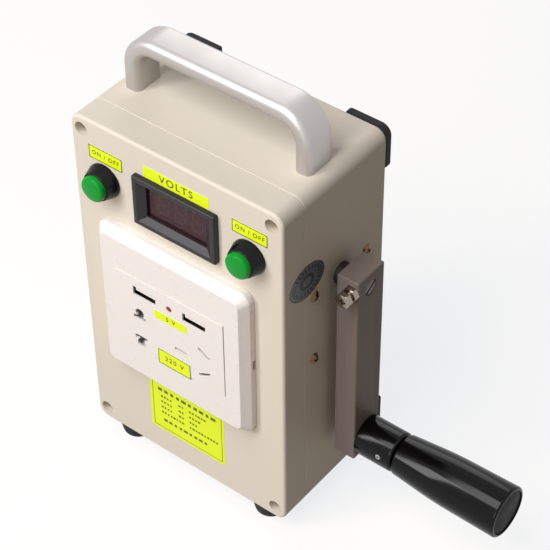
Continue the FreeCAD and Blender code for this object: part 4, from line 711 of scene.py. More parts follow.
def deliver(thing: bpy.types.Object, finishes: Sequence[Finish], body: Body,
            stands_for: Sequence[str] = ()) -> bpy.types.Object:
    """Give a finished piece its materials and hand it to the frame.

    Args:
        thing: The piece.
        finishes: Its finishes, in the order of its face numbers. None keeps the mesh's own.
        body: The body it rides on.
        stands_for: The CAD nodes it replaces.

    Returns:
        The piece.
    """
    if finishes:
        if thing.data.materials:
            thing.data.materials.clear()
        for finish in finishes:
            thing.data.materials.append(finish.material())
    if stands_for:
        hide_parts(*stands_for)
    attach(thing, body.value)
    LOG.info("%s: %d faces on %s", thing.name, len(thing.data.polygons), body.value)
    return thing


def make(name: str, solid: Solid, finishes: Sequence[Finish], body: Body,
         stands_for: Sequence[str] = (), crease: float = SHARP_ANGLE) -> bpy.types.Object:
    """Turn a solid into a finished piece.

    Args:
        name: The piece's name.
        solid: Its shape.
        finishes: Its finishes, in the order of its face numbers.
        body: The body it rides on.
        stands_for: The CAD nodes it replaces.
        crease: The least angle in degrees that stays sharp.

    Returns:
        The piece.
    """
    return deliver(link(name, settle_mesh(solid.mesh(name), crease)), finishes, body, stands_for)


def refined(node: str, name: str, edge: float, crease: float = 28.0, steps: int = 3) -> bpy.types.Object:
    """Copy a CAD node, weld it and round its sharp edges.

    Args:
        node: The CAD node.
        name: The new piece's name.
        edge: The width of the rounded edges in millimetres. 0 leaves them sharp.
        crease: The least angle in degrees that counts as an edge.
        steps: Strips in a rounded edge.

    Returns:
        The new object, not yet handed to the frame.
    """
    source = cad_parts[node].data
    corners = np.empty(len(source.vertices) * 3, np.float32)
    source.vertices.foreach_get("co", corners)
    loops = np.empty(len(source.loops), np.int32)
    source.loops.foreach_get("vertex_index", loops)
    places, inverse = np.unique(np.round(corners.reshape(-1, 3), 7), axis=0, return_inverse=True)
    faces = inverse.reshape(-1)[loops].reshape(-1, 3).tolist()
    triangles = [tuple(face) for face in faces if len(set(face)) == 3]
    mesh = bpy.data.meshes.new(name)
    mesh.from_pydata(places.tolist(), [], triangles)
    work = bmesh.new()
    work.from_mesh(mesh)
    bmesh.ops.dissolve_limit(work, angle_limit=math.radians(FLAT_ANGLE), verts=work.verts,
                             edges=work.edges)
    work.to_mesh(mesh)
    work.free()
    thing = link(name, mesh)
    mesh.shade_smooth()
    if edge > 0:
        bevel = thing.modifiers.new("edges", "BEVEL")
        bevel.width = edge * MM
        bevel.segments = steps
        bevel.limit_method = "ANGLE"
        bevel.angle_limit = math.radians(crease)
        bevel.use_clamp_overlap = True
        bevel.miter_outer = "MITER_ARC"
    else:
        mesh.set_sharp_from_angle(angle=math.radians(crease))
    weighted = thing.modifiers.new("normals", "WEIGHTED_NORMAL")
    weighted.keep_sharp = True
    return freeze(thing)


class GeometryTree:
    """A geometry node tree with named sizes, whose result becomes a plain mesh."""

    def __init__(self, name: str) -> None:
        """Make an empty tree.

        Args:
            name: The tree's name.
        """
        self.group = bpy.data.node_groups.new(name, "GeometryNodeTree")
        self.group.interface.new_socket("Geometry", in_out="INPUT", socket_type="NodeSocketGeometry")
        self.group.interface.new_socket("Geometry", in_out="OUTPUT", socket_type="NodeSocketGeometry")
        self.start = self.group.nodes.new("NodeGroupInput")
        self.stop = self.group.nodes.new("NodeGroupOutput")
        self.identifiers: dict[str, str] = {}

    @property
    def base(self) -> bpy.types.NodeSocket:
        """Return the points or path that the tree starts from."""
        return self.start.outputs["Geometry"]

    def size(self, name: str, whole: bool = False) -> bpy.types.NodeSocket:
        """Add a named input.

        Args:
            name: The input's name.
            whole: Whether it is a whole number.

        Returns:
            The socket that carries it.
        """
        kind = "NodeSocketInt" if whole else "NodeSocketFloat"
        socket = self.group.interface.new_socket(name, in_out="INPUT", socket_type=kind)
        self.identifiers[name] = socket.identifier
        return self.start.outputs[name]

    def add(self, kind: str, settings: dict[str, str] | None = None,
            **values: object) -> bpy.types.NodeSocket:
        """Add a node.

        Args:
            kind: The node's type.
            settings: Its own properties.
            values: Input values, sockets, or lists of sockets, named with underscores for spaces.

        Returns:
            The node's first shown output.
        """
        node = self.group.nodes.new(kind)
        for name, value in (settings or {}).items():
            setattr(node, name, value)
        for name, value in values.items():
            socket = node.inputs[name.replace("_", " ")]
            sources = value if isinstance(value, list) else [value]
            for source in sources:
                if isinstance(source, bpy.types.NodeSocket):
                    self.group.links.new(source, socket)
                else:
                    socket.default_value = source
        return next(socket for socket in node.outputs if socket.enabled)

    def shifted(self, geometry: bpy.types.NodeSocket, x: object = 0.0, y: object = 0.0,
                z: object = 0.0) -> bpy.types.NodeSocket:
        """Return geometry moved by three numbers."""
        return self.add("GeometryNodeTransform", Geometry=geometry, Translation=self.vector(x, y, z))

    def math(self, operation: str, first: object, second: object) -> bpy.types.NodeSocket:
        """Work out a sum.

        Args:
            operation: The kind of sum.
            first: A number or a socket.
            second: A number or a socket.

        Returns:
            The socket with the result.
        """
        node = self.group.nodes.new("ShaderNodeMath")
        node.operation = operation
        for socket, value in zip(node.inputs, (first, second)):
            if isinstance(value, bpy.types.NodeSocket):
                self.group.links.new(value, socket)
            else:
                socket.default_value = value
        return node.outputs[0]

    def vector(self, x: object = 0.0, y: object = 0.0, z: object = 0.0) -> bpy.types.NodeSocket:
        """Return three numbers as one vector."""
        return self.add("ShaderNodeCombineXYZ", X=x, Y=y, Z=z)

    def finish(self, geometry: bpy.types.NodeSocket, finish: Finish) -> None:
        """End the tree with plain, dressed geometry."""
        plain = self.add("GeometryNodeRealizeInstances", Geometry=geometry)
        dressed = self.add("GeometryNodeSetMaterial", Geometry=plain, Material=finish.material())
        self.group.links.new(dressed, self.stop.inputs["Geometry"])

    def grow(self, name: str, points: Sequence[Vector], joined: bool, **sizes: float) -> bpy.types.Mesh:
        """Run the tree.

        Args:
            name: The mesh's name.
            points: Where the tree starts, in millimetres.
            joined: Whether the points are a path.
            sizes: The tree's inputs, named with underscores for spaces.

        Returns:
            The result as a plain mesh, still in millimetres.
        """
        base = bpy.data.meshes.new(name)
        edges = [(index, index + 1) for index in range(len(points) - 1)] if joined else []
        base.from_pydata([tuple(point) for point in points], edges, [])
        holder = link(name + "_holder", base)
        modifier = holder.modifiers.new("tree", "NODES")
        modifier.node_group = self.group
        for label, value in sizes.items():
            modifier[self.identifiers[label.replace("_", " ")]] = value
        graph = bpy.context.evaluated_depsgraph_get()
        mesh = bpy.data.meshes.new_from_object(holder.evaluated_get(graph))
        holder.modifiers.clear()
        bpy.data.objects.remove(holder)
        return mesh


def cross_screw_tree(finish: Finish) -> GeometryTree:
    """Put a pan-head screw with a cross recess on each point, head towards +Z.

    Args:
        finish: The screws' finish.

    Returns:
        The tree.
    """
    tree = GeometryTree("cross_screws")
    radius = tree.size("Head Radius")
    height = tree.size("Head Height")
    dome = tree.size("Dome Radius")
    shank = tree.size("Shank Radius")
    length = tree.size("Shank Length")
    arm = tree.size("Recess Length")
    width = tree.size("Recess Width")
    depth = tree.size("Recess Depth")
    drum = tree.add("GeometryNodeMeshCylinder", Vertices=40, Radius=radius, Depth=height)
    drum = tree.shifted(drum, z=tree.math("DIVIDE", height, 2.0))
    ball = tree.add("GeometryNodeMeshUVSphere", Segments=40, Rings=48, Radius=dome)
    ball = tree.shifted(ball, z=tree.math("SUBTRACT", height, dome))
    head = tree.add("GeometryNodeMeshBoolean", {"operation": "INTERSECT", "solver": "EXACT"},
                    Mesh_2=[drum, ball])
    double = tree.math("MULTIPLY", depth, 2.0)
    bars = []
    for x, y in ((arm, width), (width, arm)):
        bar = tree.add("GeometryNodeMeshCube", Size=tree.vector(x, y, double))
        bars.append(tree.shifted(bar, z=height))
    head = tree.add("GeometryNodeMeshBoolean", {"operation": "DIFFERENCE", "solver": "EXACT"},
                    Mesh_1=head, Mesh_2=bars)
    stem = tree.add("GeometryNodeMeshCylinder", Vertices=24, Radius=shank, Depth=length)
    stem = tree.shifted(stem, z=tree.math("DIVIDE", length, -2.0))
    screw = tree.add("GeometryNodeJoinGeometry", Geometry=[head, stem])
    turn = tree.add("FunctionNodeRandomValue", {"data_type": "FLOAT"}, Seed=4)
    spin = tree.vector(z=tree.math("MULTIPLY", turn, math.pi / 2))
    placed = tree.add("GeometryNodeInstanceOnPoints", Points=tree.base, Instance=screw)
    spun = tree.add("GeometryNodeRotateInstances", Instances=placed, Rotation=spin, Local_Space=True)
    tree.finish(spun, finish)
    return tree


def place_mesh(mesh: bpy.types.Mesh, placement: Matrix | None = None) -> bpy.types.Mesh:
    """Move a mesh in millimetres to its place and turn it into metres.

    Args:
        mesh: The mesh, changed in place.
        placement: Its place, or None where it stays.

    Returns:
        The same mesh.
    """
    if placement is not None:
        mesh.transform(placement)
    mesh.transform(Matrix.Scale(MM, 4))
    return mesh


def middle(node: str) -> Vector:
    """Return the middle of a CAD node in millimetres."""
    low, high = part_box(node)
    return (low + high) / 2 / MM


def low_corner(node: str) -> Vector:
    """Return the lowest corner of a CAD node in millimetres."""
    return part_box(node)[0] / MM


def high_corner(node: str) -> Vector:
    """Return the highest corner of a CAD node in millimetres."""
    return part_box(node)[1] / MM


FACING_FRONT = Matrix.Rotation(math.pi / 2, 4, "X")
FACING_RIGHT = Matrix.Rotation(math.pi / 2, 4, "Y")


@dataclass(frozen=True)
class CrossScrew:
    """A pan-head screw with a cross recess."""

    head_radius: float
    head_height: float
    dome_radius: float
    shank_radius: float
    shank_length: float
    recess_length: float
    recess_width: float = 0.8
    recess_depth: float = 1.2

    def meshes(self, tree: GeometryTree, name: str, seats: Sequence[Vector],
               facing: Matrix) -> bpy.types.Mesh:
        """Put the screw on its seats.

        Args:
            tree: The tree that makes cross screws.
            name: The mesh's name.
            seats: Where the heads bear, in millimetres.
            facing: The turn from upright to the head's direction.

        Returns:
            One settled mesh of all the screws.
        """
        places = [facing.inverted() @ seat for seat in seats]
        mesh = tree.grow(name, places, False, Head_Radius=self.head_radius, Head_Height=self.head_height,
                         Dome_Radius=self.dome_radius, Shank_Radius=self.shank_radius,
                         Shank_Length=self.shank_length, Recess_Length=self.recess_length,
                         Recess_Width=self.recess_width, Recess_Depth=self.recess_depth)
        return settle_mesh(place_mesh(mesh, facing))


def corners_of(node: str, inset: float, depth: float, axis: Axis) -> list[Vector]:
    """Return the four corners of a node's box, seen along an axis.

    Args:
        node: The CAD node.
        inset: How far the corners lie inside the box.
        depth: Their place along the axis.
        axis: The axis.

    Returns:
        The corners in millimetres.
    """
    low, high = low_corner(node), high_corner(node)
    side, other = axis.across
    places = []
    for u in (low.dot(side) + inset, high.dot(side) - inset):
        for v in (low.dot(other) + inset, high.dot(other) - inset):
            places.append(side * u + other * v + axis.vector * depth)
    return places


# Sub-assemblies


@dataclass
class Enclosure:
    """The two-part plastic case with its screws, feet and rear pads."""

    screw_tree: GeometryTree
    lid_screw: CrossScrew = CrossScrew(head_radius=3.2, head_height=2.6, dome_radius=5.4,
                                       shank_radius=2.0, shank_length=15.8, recess_length=3.8,
                                       recess_width=0.9, recess_depth=1.5)
    pad_edge: float = 0.5
    foot_edge: float = 0.4
    foot_round: float = 1.6
    foot_top_radius: float = 9.5
    foot_bottom_radius: float = 7.6
    foot_recess_radius: float = 4.0
    foot_recess_depth: float = 5.0
    foot_bore_radius: float = 1.53

    def build(self) -> None:
        """Build and dress every piece of the case."""
        deliver(refined("base_shell", "case_base", 0.0), [CASE_PLASTIC], Body.CASE,
                ["base_shell"])
        deliver(refined("front_lid", "case_lid", 0.0), [CASE_PLASTIC], Body.CASE,
                ["front_lid"])
        deliver(refined("rear_pads", "back_pads", self.pad_edge), [FOOT_RUBBER], Body.CASE,
                ["rear_pads"])
        self.feet()
        self.lid_screws()
        dress("lid_seal", SEAL_RUBBER)
        dress("foot_screws", PLATED_STEEL)

    def feet(self) -> None:
        """Build the four tapered rubber feet."""
        top = high_corner("rubber_feet").z
        outline = soften([(0, self.foot_recess_radius, self.foot_edge),
                          (0, self.foot_bottom_radius, self.foot_round),
                          (top, self.foot_top_radius, self.foot_edge), (top, self.foot_bore_radius, 0),
                          (self.foot_recess_depth, self.foot_bore_radius, 0),
                          (self.foot_recess_depth, self.foot_recess_radius, 0)])
        feet = Solid()
        for place in corners_of("rubber_feet", self.foot_top_radius, 0.0, Axis.Z):
            feet.lathe(outline, place, Axis.Z)
        make("feet", feet, [FOOT_RUBBER], Body.CASE, ["rubber_feet"])

    def lid_screws(self) -> None:
        """Build the four lid screws at the bottom of their counterbores."""
        seat = low_corner("lid_screws").y + self.lid_screw.head_height
        seats = corners_of("lid_screws", self.lid_screw.head_radius, seat, Axis.Y)
        mesh = self.lid_screw.meshes(self.screw_tree, "lid_corner_screws", seats, FACING_FRONT)
        deliver(link("lid_corner_screws", mesh), [], Body.CASE, ["lid_screws"])


@dataclass
class CarryHandle:
    """The bent metal strap on top."""

    thickness: float = 8.4
    outer_radius: float = 17.0
    edge_radius: float = 3.0
    bend_steps: int = 20
    edge_steps: int = 6

    def build(self) -> None:
        """Build and dress the strap and its screws."""
        self.strap()
        dress("handle_screws", PLATED_STEEL)

    def tree(self) -> GeometryTree:
        """Return a tree that sweeps a rounded bar along a path in the XY plane."""
        tree = GeometryTree("bent_strap")
        thickness = tree.size("Thickness")
        breadth = tree.size("Breadth")
        edge = tree.size("Edge Radius")
        bend = tree.size("Bend Radius")
        path = tree.add("GeometryNodeMeshToCurve", Mesh=tree.base)
        path = tree.add("GeometryNodeFilletCurve", {"mode": "POLY"}, Curve=path, Count=self.bend_steps,
                        Radius=bend, Limit_Radius=True)
        path = tree.add("GeometryNodeSetCurveNormal", {"mode": "Z_UP"}, Curve=path)
        bar = tree.add("GeometryNodeCurvePrimitiveQuadrilateral", Width=thickness, Height=breadth)
        bar = tree.add("GeometryNodeFilletCurve", {"mode": "POLY"}, Curve=bar, Count=self.edge_steps,
                       Radius=edge, Limit_Radius=True)
        swept = tree.add("GeometryNodeCurveToMesh", Curve=path, Profile_Curve=bar, Fill_Caps=True)
        tree.finish(swept, HANDLE_METAL)
        return tree

    def strap(self) -> None:
        """Build the strap along its middle line."""
        low, high = low_corner("carry_handle"), high_corner("carry_handle")
        half = self.thickness / 2
        left, right = low.x + half, high.x - half
        ridge = high.z - half
        line = [Vector((left, low.z, 0)), Vector((left, ridge, 0)), Vector((right, ridge, 0)),
                Vector((right, low.z, 0))]
        mesh = self.tree().grow("strap", line, True, Thickness=self.thickness, Breadth=high.y - low.y,
                                Edge_Radius=self.edge_radius, Bend_Radius=self.outer_radius - half)
        place_mesh(mesh, Matrix.Translation((0, (low.y + high.y) / 2, 0)) @ FACING_FRONT)
        deliver(link("handle_strap", settle_mesh(mesh)), [], Body.CASE, ["carry_handle"])


@dataclass
class Voltmeter:
    """The panel meter: bezel, tinted window and unlit digits behind it."""

    digits: int = 3
    digit_height: float = 10.6
    digit_width: float = 5.6
    digit_pitch: float = 9.6
    segment_width: float = 1.15
    segment_gap: float = 0.3
    segment_depth: float = 0.3
    lean: float = 0.14
    face_set_back: float = 0.35
    board_thickness: float = 1.6
    board_margin_x: float = 2.5
    board_margin_z: float = 1.5
    frame_edge: float = 0.3
    window_edge: float = 0.2

    def build(self) -> None:
        """Build and dress every piece of the meter."""
        deliver(refined("meter_bezel", "meter_frame", self.frame_edge), [BEZEL_PLASTIC], Body.CASE,
                ["meter_bezel"])
        deliver(refined("meter_lens", "meter_window", self.window_edge), [LENS_TINT], Body.CASE,
                ["meter_lens"])
        self.display()

    def tree(self) -> GeometryTree:
        """Return a tree that makes a row of seven-bar digits on its one point."""
        tree = GeometryTree("seven_bar_digits")
        height = tree.size("Digit Height")
        width = tree.size("Digit Width")
        bar = tree.size("Bar Width")
        gap = tree.size("Bar Gap")
        pitch = tree.size("Pitch")
        lean = tree.size("Lean")
        count = tree.size("Digits", whole=True)
        rise = tree.math("DIVIDE", height, 2.0)
        long_side = tree.math("SUBTRACT", tree.math("SUBTRACT", width, bar), gap)
        tall_side = tree.math("SUBTRACT", tree.math("SUBTRACT", rise, bar), gap)
        flat = tree.add("GeometryNodeMeshCube", Size=tree.vector(long_side, bar, self.segment_depth))
        tall = tree.add("GeometryNodeMeshCube", Size=tree.vector(bar, tall_side, self.segment_depth))
        rungs = tree.add("GeometryNodeMeshLine", Count=3, Offset=tree.vector(y=rise))
        rungs = tree.shifted(rungs, y=tree.math("MULTIPLY", rise, -1.0))
        posts = tree.add("GeometryNodeMeshGrid", Size_X=width, Size_Y=rise, Vertices_X=2, Vertices_Y=2)
        flats = tree.add("GeometryNodeInstanceOnPoints", Points=rungs, Instance=flat)
        talls = tree.add("GeometryNodeInstanceOnPoints", Points=posts, Instance=tall)
        digit = tree.add("GeometryNodeJoinGeometry", Geometry=[flats, talls])
        row = tree.add("GeometryNodeMeshLine", Count=count, Offset=tree.vector(x=pitch))
        digits = tree.add("GeometryNodeInstanceOnPoints", Points=row, Instance=digit)
        plain = tree.add("GeometryNodeRealizeInstances", Geometry=digits)
        split = tree.group.nodes.new("ShaderNodeSeparateXYZ")
        tree.group.links.new(tree.add("GeometryNodeInputPosition"), split.inputs[0])
        shift = tree.vector(x=tree.math("MULTIPLY", split.outputs["Y"], lean))
        leaned = tree.add("GeometryNodeSetPosition", Geometry=plain, Offset=shift)
        tree.finish(leaned, DISPLAY_SEGMENT)
        return tree

    def display(self) -> None:
        """Build the digit block on its board, with bars that stand a little proud of its face."""
        low, high = low_corner("meter_display"), high_corner("meter_display")
        centre = (low + high) / 2
        face = low.y + self.face_set_back
        seam = high.y - self.board_thickness
        block = Solid()
        inset = Vector((self.board_margin_x, 0, self.board_margin_z))
        block.block(Vector((low.x, face, low.z)) + inset, Vector((high.x, seam, high.z)) - inset)
        block.block(Vector((low.x, seam, low.z)), high, finish=1)
        shell = settle_mesh(block.mesh("meter_digits"))
        for finish in (DISPLAY_FACE, LAMINATE):
            shell.materials.append(finish.material())
        first = centre.x - self.digit_pitch * (self.digits - 1) / 2
        bars = self.tree().grow("bars", [Vector((0, 0, 0))], False, Digit_Height=self.digit_height,
                                Digit_Width=self.digit_width, Bar_Width=self.segment_width,
                                Bar_Gap=self.segment_gap, Pitch=self.digit_pitch, Lean=self.lean,
                                Digits=self.digits)
        place_mesh(bars, Matrix.Translation((first, face, centre.z)) @ FACING_FRONT)
        thing = join("meter_digits", [shell, settle_mesh(bars)])
        deliver(thing, [], Body.CASE, ["meter_display"])


@dataclass
class PushButton:
    """A push button with a black housing and a domed green cap."""

    side: str
    body: Body
    bore_radius: float = 6.45
    collar_radius: float = 7.1
    base_radius: float = 8.8
    barrel_radius: float = 7.9
    barrel_length: float = 16.0
    chamber_radius: float = 5.5
    guide_radius: float = 2.55
    floor_depth: float = 1.5
    floor_thickness: float = 1.5
    cap_radius: float = 6.4
    cap_length: float = 7.6
    cap_wall: float = 1.5
    cap_ceiling: float = 2.2
    stem_radius: float = 2.5
    catch_radius: float = 3.4
    catch_length: float = 2.0
    lip_edge: float = 0.12
    collar_edge: float = 0.45
    cone_height: float = 1.2
    cone_edge: float = 0.5
    seat_edge: float = 0.2
    barrel_edge: float = 0.4
    pinhole: float = 0.01
    segments: int = 72
    dome_drop: float = 0.5
    dome_ring: float = 1.6
    shoulder_drop: float = 0.55
    shoulder_inset: float = 0.1
    shoulder_round: float = 1.3
    catch_gap: float = 0.05
    catch_edge: float = 0.3
    travel: float = 2.5
    spring_crease: float = 60.0
    spring_turns: float = 6.0
    wire_radius: float = 0.5

    def build(self, coil_tree: GeometryTree) -> None:
        """Build and dress every piece of the button.

        Args:
            coil_tree: The tree that winds the spring.
        """
        self.housing()
        self.cap()
        self.spring(coil_tree)

    @property
    def centre(self) -> Vector:
        """Return the point of the button's axis on the lid's face."""
        place = middle(f"button_housing_{self.side}")
        return Vector((place.x, high_corner(f"button_housing_{self.side}").y - self.barrel_length, place.z))

    def housing(self) -> None:
        """Build the housing with its rounded lip."""
        node = f"button_housing_{self.side}"
        lip = low_corner(node).y - self.centre.y
        below = self.floor_depth + self.floor_thickness
        end = self.barrel_length
        back = end - self.floor_thickness
        outline = soften([(lip, self.bore_radius, self.lip_edge),
                          (lip, self.collar_radius, self.collar_edge),
                          (-self.cone_height, self.base_radius, self.cone_edge),
                          (0, self.base_radius, self.seat_edge), (0, self.barrel_radius, 0),
                          (end, self.barrel_radius, self.barrel_edge), (end, self.pinhole, 0),
                          (back, self.pinhole, 0), (back, self.chamber_radius, 0),
                          (below, self.chamber_radius, 0), (below, self.guide_radius, 0),
                          (self.floor_depth, self.guide_radius, 0), (self.floor_depth, self.bore_radius, 0)])
        housing = Solid().lathe(outline, self.centre, Axis.Y, self.segments)
        make(f"push_button_{self.side}_housing", housing, [BLACK_PLASTIC], Body.CASE,
             [node])

    def cap(self) -> None:
        """Build the domed cap with its skirt, stem and catch."""
        node = f"button_cap_{self.side}"
        top = low_corner(node).y - self.centre.y
        skirt = top + self.cap_length
        ceiling = top + self.cap_ceiling
        catch = self.floor_depth + self.floor_thickness + self.catch_gap
        end = catch + self.catch_length
        inner = self.cap_radius - self.cap_wall
        rim = self.cap_radius - self.dome_ring
        dome = [(top + self.dome_drop * (radius / rim) ** 2, radius, 0.0)
                for radius in (0.0, self.dome_ring, 2 * self.dome_ring)]
        shoulder = (top + self.shoulder_drop, self.cap_radius - self.shoulder_inset, self.shoulder_round)
        outline = soften(dome + [shoulder, (skirt, self.cap_radius, self.seat_edge), (skirt, inner, 0),
                                 (ceiling, inner, 0), (ceiling, self.stem_radius, 0),
                                 (catch, self.stem_radius, 0), (catch, self.catch_radius, 0),
                                 (end, self.catch_radius, self.catch_edge), (end, 0, 0)])
        cap = Solid().lathe(outline, self.centre, Axis.Y, self.segments)
        make(f"push_button_{self.side}_cap", cap, [GREEN_PLASTIC], self.body, [node])

    def spring(self, coil_tree: GeometryTree) -> None:
        """Build the return spring as a wound wire on the button's body, with a mesh of its own.

        Args:
            coil_tree: The tree that winds the spring.
        """
        node = f"button_spring_{self.side}"
        low, high = low_corner(node), high_corner(node)
        coil = (high.z - low.z) / 2 - self.wire_radius
        mesh = coil_tree.grow(f"spring_{self.side}", [Vector((0, 0, 0))], False, Coil_Radius=coil,
                              Coil_Length=high.y - low.y - 2 * self.wire_radius, Turns=self.spring_turns,
                              Wire_Radius=self.wire_radius)
        centre = self.centre
        place_mesh(mesh, Matrix.Translation((centre.x, high.y - self.wire_radius, centre.z)) @ FACING_FRONT)
        spring = deliver(link(f"push_button_{self.side}_spring", settle_mesh(mesh, self.spring_crease)), [],
                         self.body, [node])
        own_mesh(spring)


def coil_tree(finish: Finish) -> GeometryTree:
    """Wind a wire into an open coil along +Z.

    Args:
        finish: The wire's finish.

    Returns:
        The tree.
    """
    tree = GeometryTree("wound_wire")
    radius = tree.size("Coil Radius")
    length = tree.size("Coil Length")
    turns = tree.size("Turns")
    wire = tree.size("Wire Radius")
    spiral = tree.add("GeometryNodeCurveSpiral", Resolution=24, Rotations=turns, Start_Radius=radius,
                      End_Radius=radius, Height=length)
    section = tree.add("GeometryNodeCurvePrimitiveCircle", Resolution=10, Radius=wire)
    wound = tree.add("GeometryNodeCurveToMesh", Curve=spiral, Profile_Curve=section, Fill_Caps=True)
    tree.finish(wound, finish)
    return tree


@dataclass
class SocketPlate:
    """The white cover plate with two charging ports and three outlets."""

    plate_edge: float = 0.7
    plate_crease: float = 22.0
    face_edge: float = 0.3
    tongue_edge: float = 0.1
    shell_edge: float = 0.08
    led_radius: float = 1.5
    led_dome: float = 0.35
    led_ring: float = 0.5
    led_shoulder: float = 0.5
    led_inset: float = 0.02
    led_edge: float = 0.15
    led_segments: int = 32

    def build(self) -> None:
        """Build and dress every piece of the plate."""
        plate = refined("socket_plate", "cover_plate", self.plate_edge, self.plate_crease, steps=4)
        deliver(plate, [SOCKET_PLASTIC], Body.CASE, ["socket_plate"])
        for node, name, edge in (("socket_insert", "outlet_face", self.face_edge),
                                 ("usb_tongues", "port_tongues", self.tongue_edge)):
            deliver(refined(node, name, edge), [SOCKET_PLASTIC], Body.CASE, [node])
        # The port shells' dark steel is painted shade for the inside of the ports.
        deliver(refined("usb_shells", "port_shells", self.shell_edge), [PORT_STEEL_PAINTED_SHADE], Body.CASE,
                ["usb_shells"])
        self.indicator()
        # The outlet contacts' dark finish is painted shade that darkens the outlet holes.
        for node, finish in (("socket_frame", GEARBOX_STEEL), ("socket_screws", PLATED_STEEL),
                             ("socket_body", SOCKET_BODY), ("socket_contacts", CONTACT_METAL_PAINTED_SHADE)):
            dress(node, finish)

    def indicator(self) -> None:
        """Build the round indicator with its domed end."""
        low, high = low_corner("power_led"), high_corner("power_led")
        centre = (low + high) / 2
        depth = high.y - low.y
        dome = [(self.led_dome * (radius / self.led_radius) ** 2, radius, 0.0)
                for radius in (0.0, self.led_ring, 2 * self.led_ring)]
        shoulder = (self.led_shoulder, self.led_radius - self.led_inset, self.led_edge)
        outline = soften(dome + [shoulder, (depth, self.led_radius, 0), (depth, 0, 0)])
        led = Solid().lathe(outline, Vector((centre.x, low.y, centre.z)), Axis.Y, self.led_segments)
        make("indicator", led, [LED_RESIN], Body.CASE, ["power_led"])


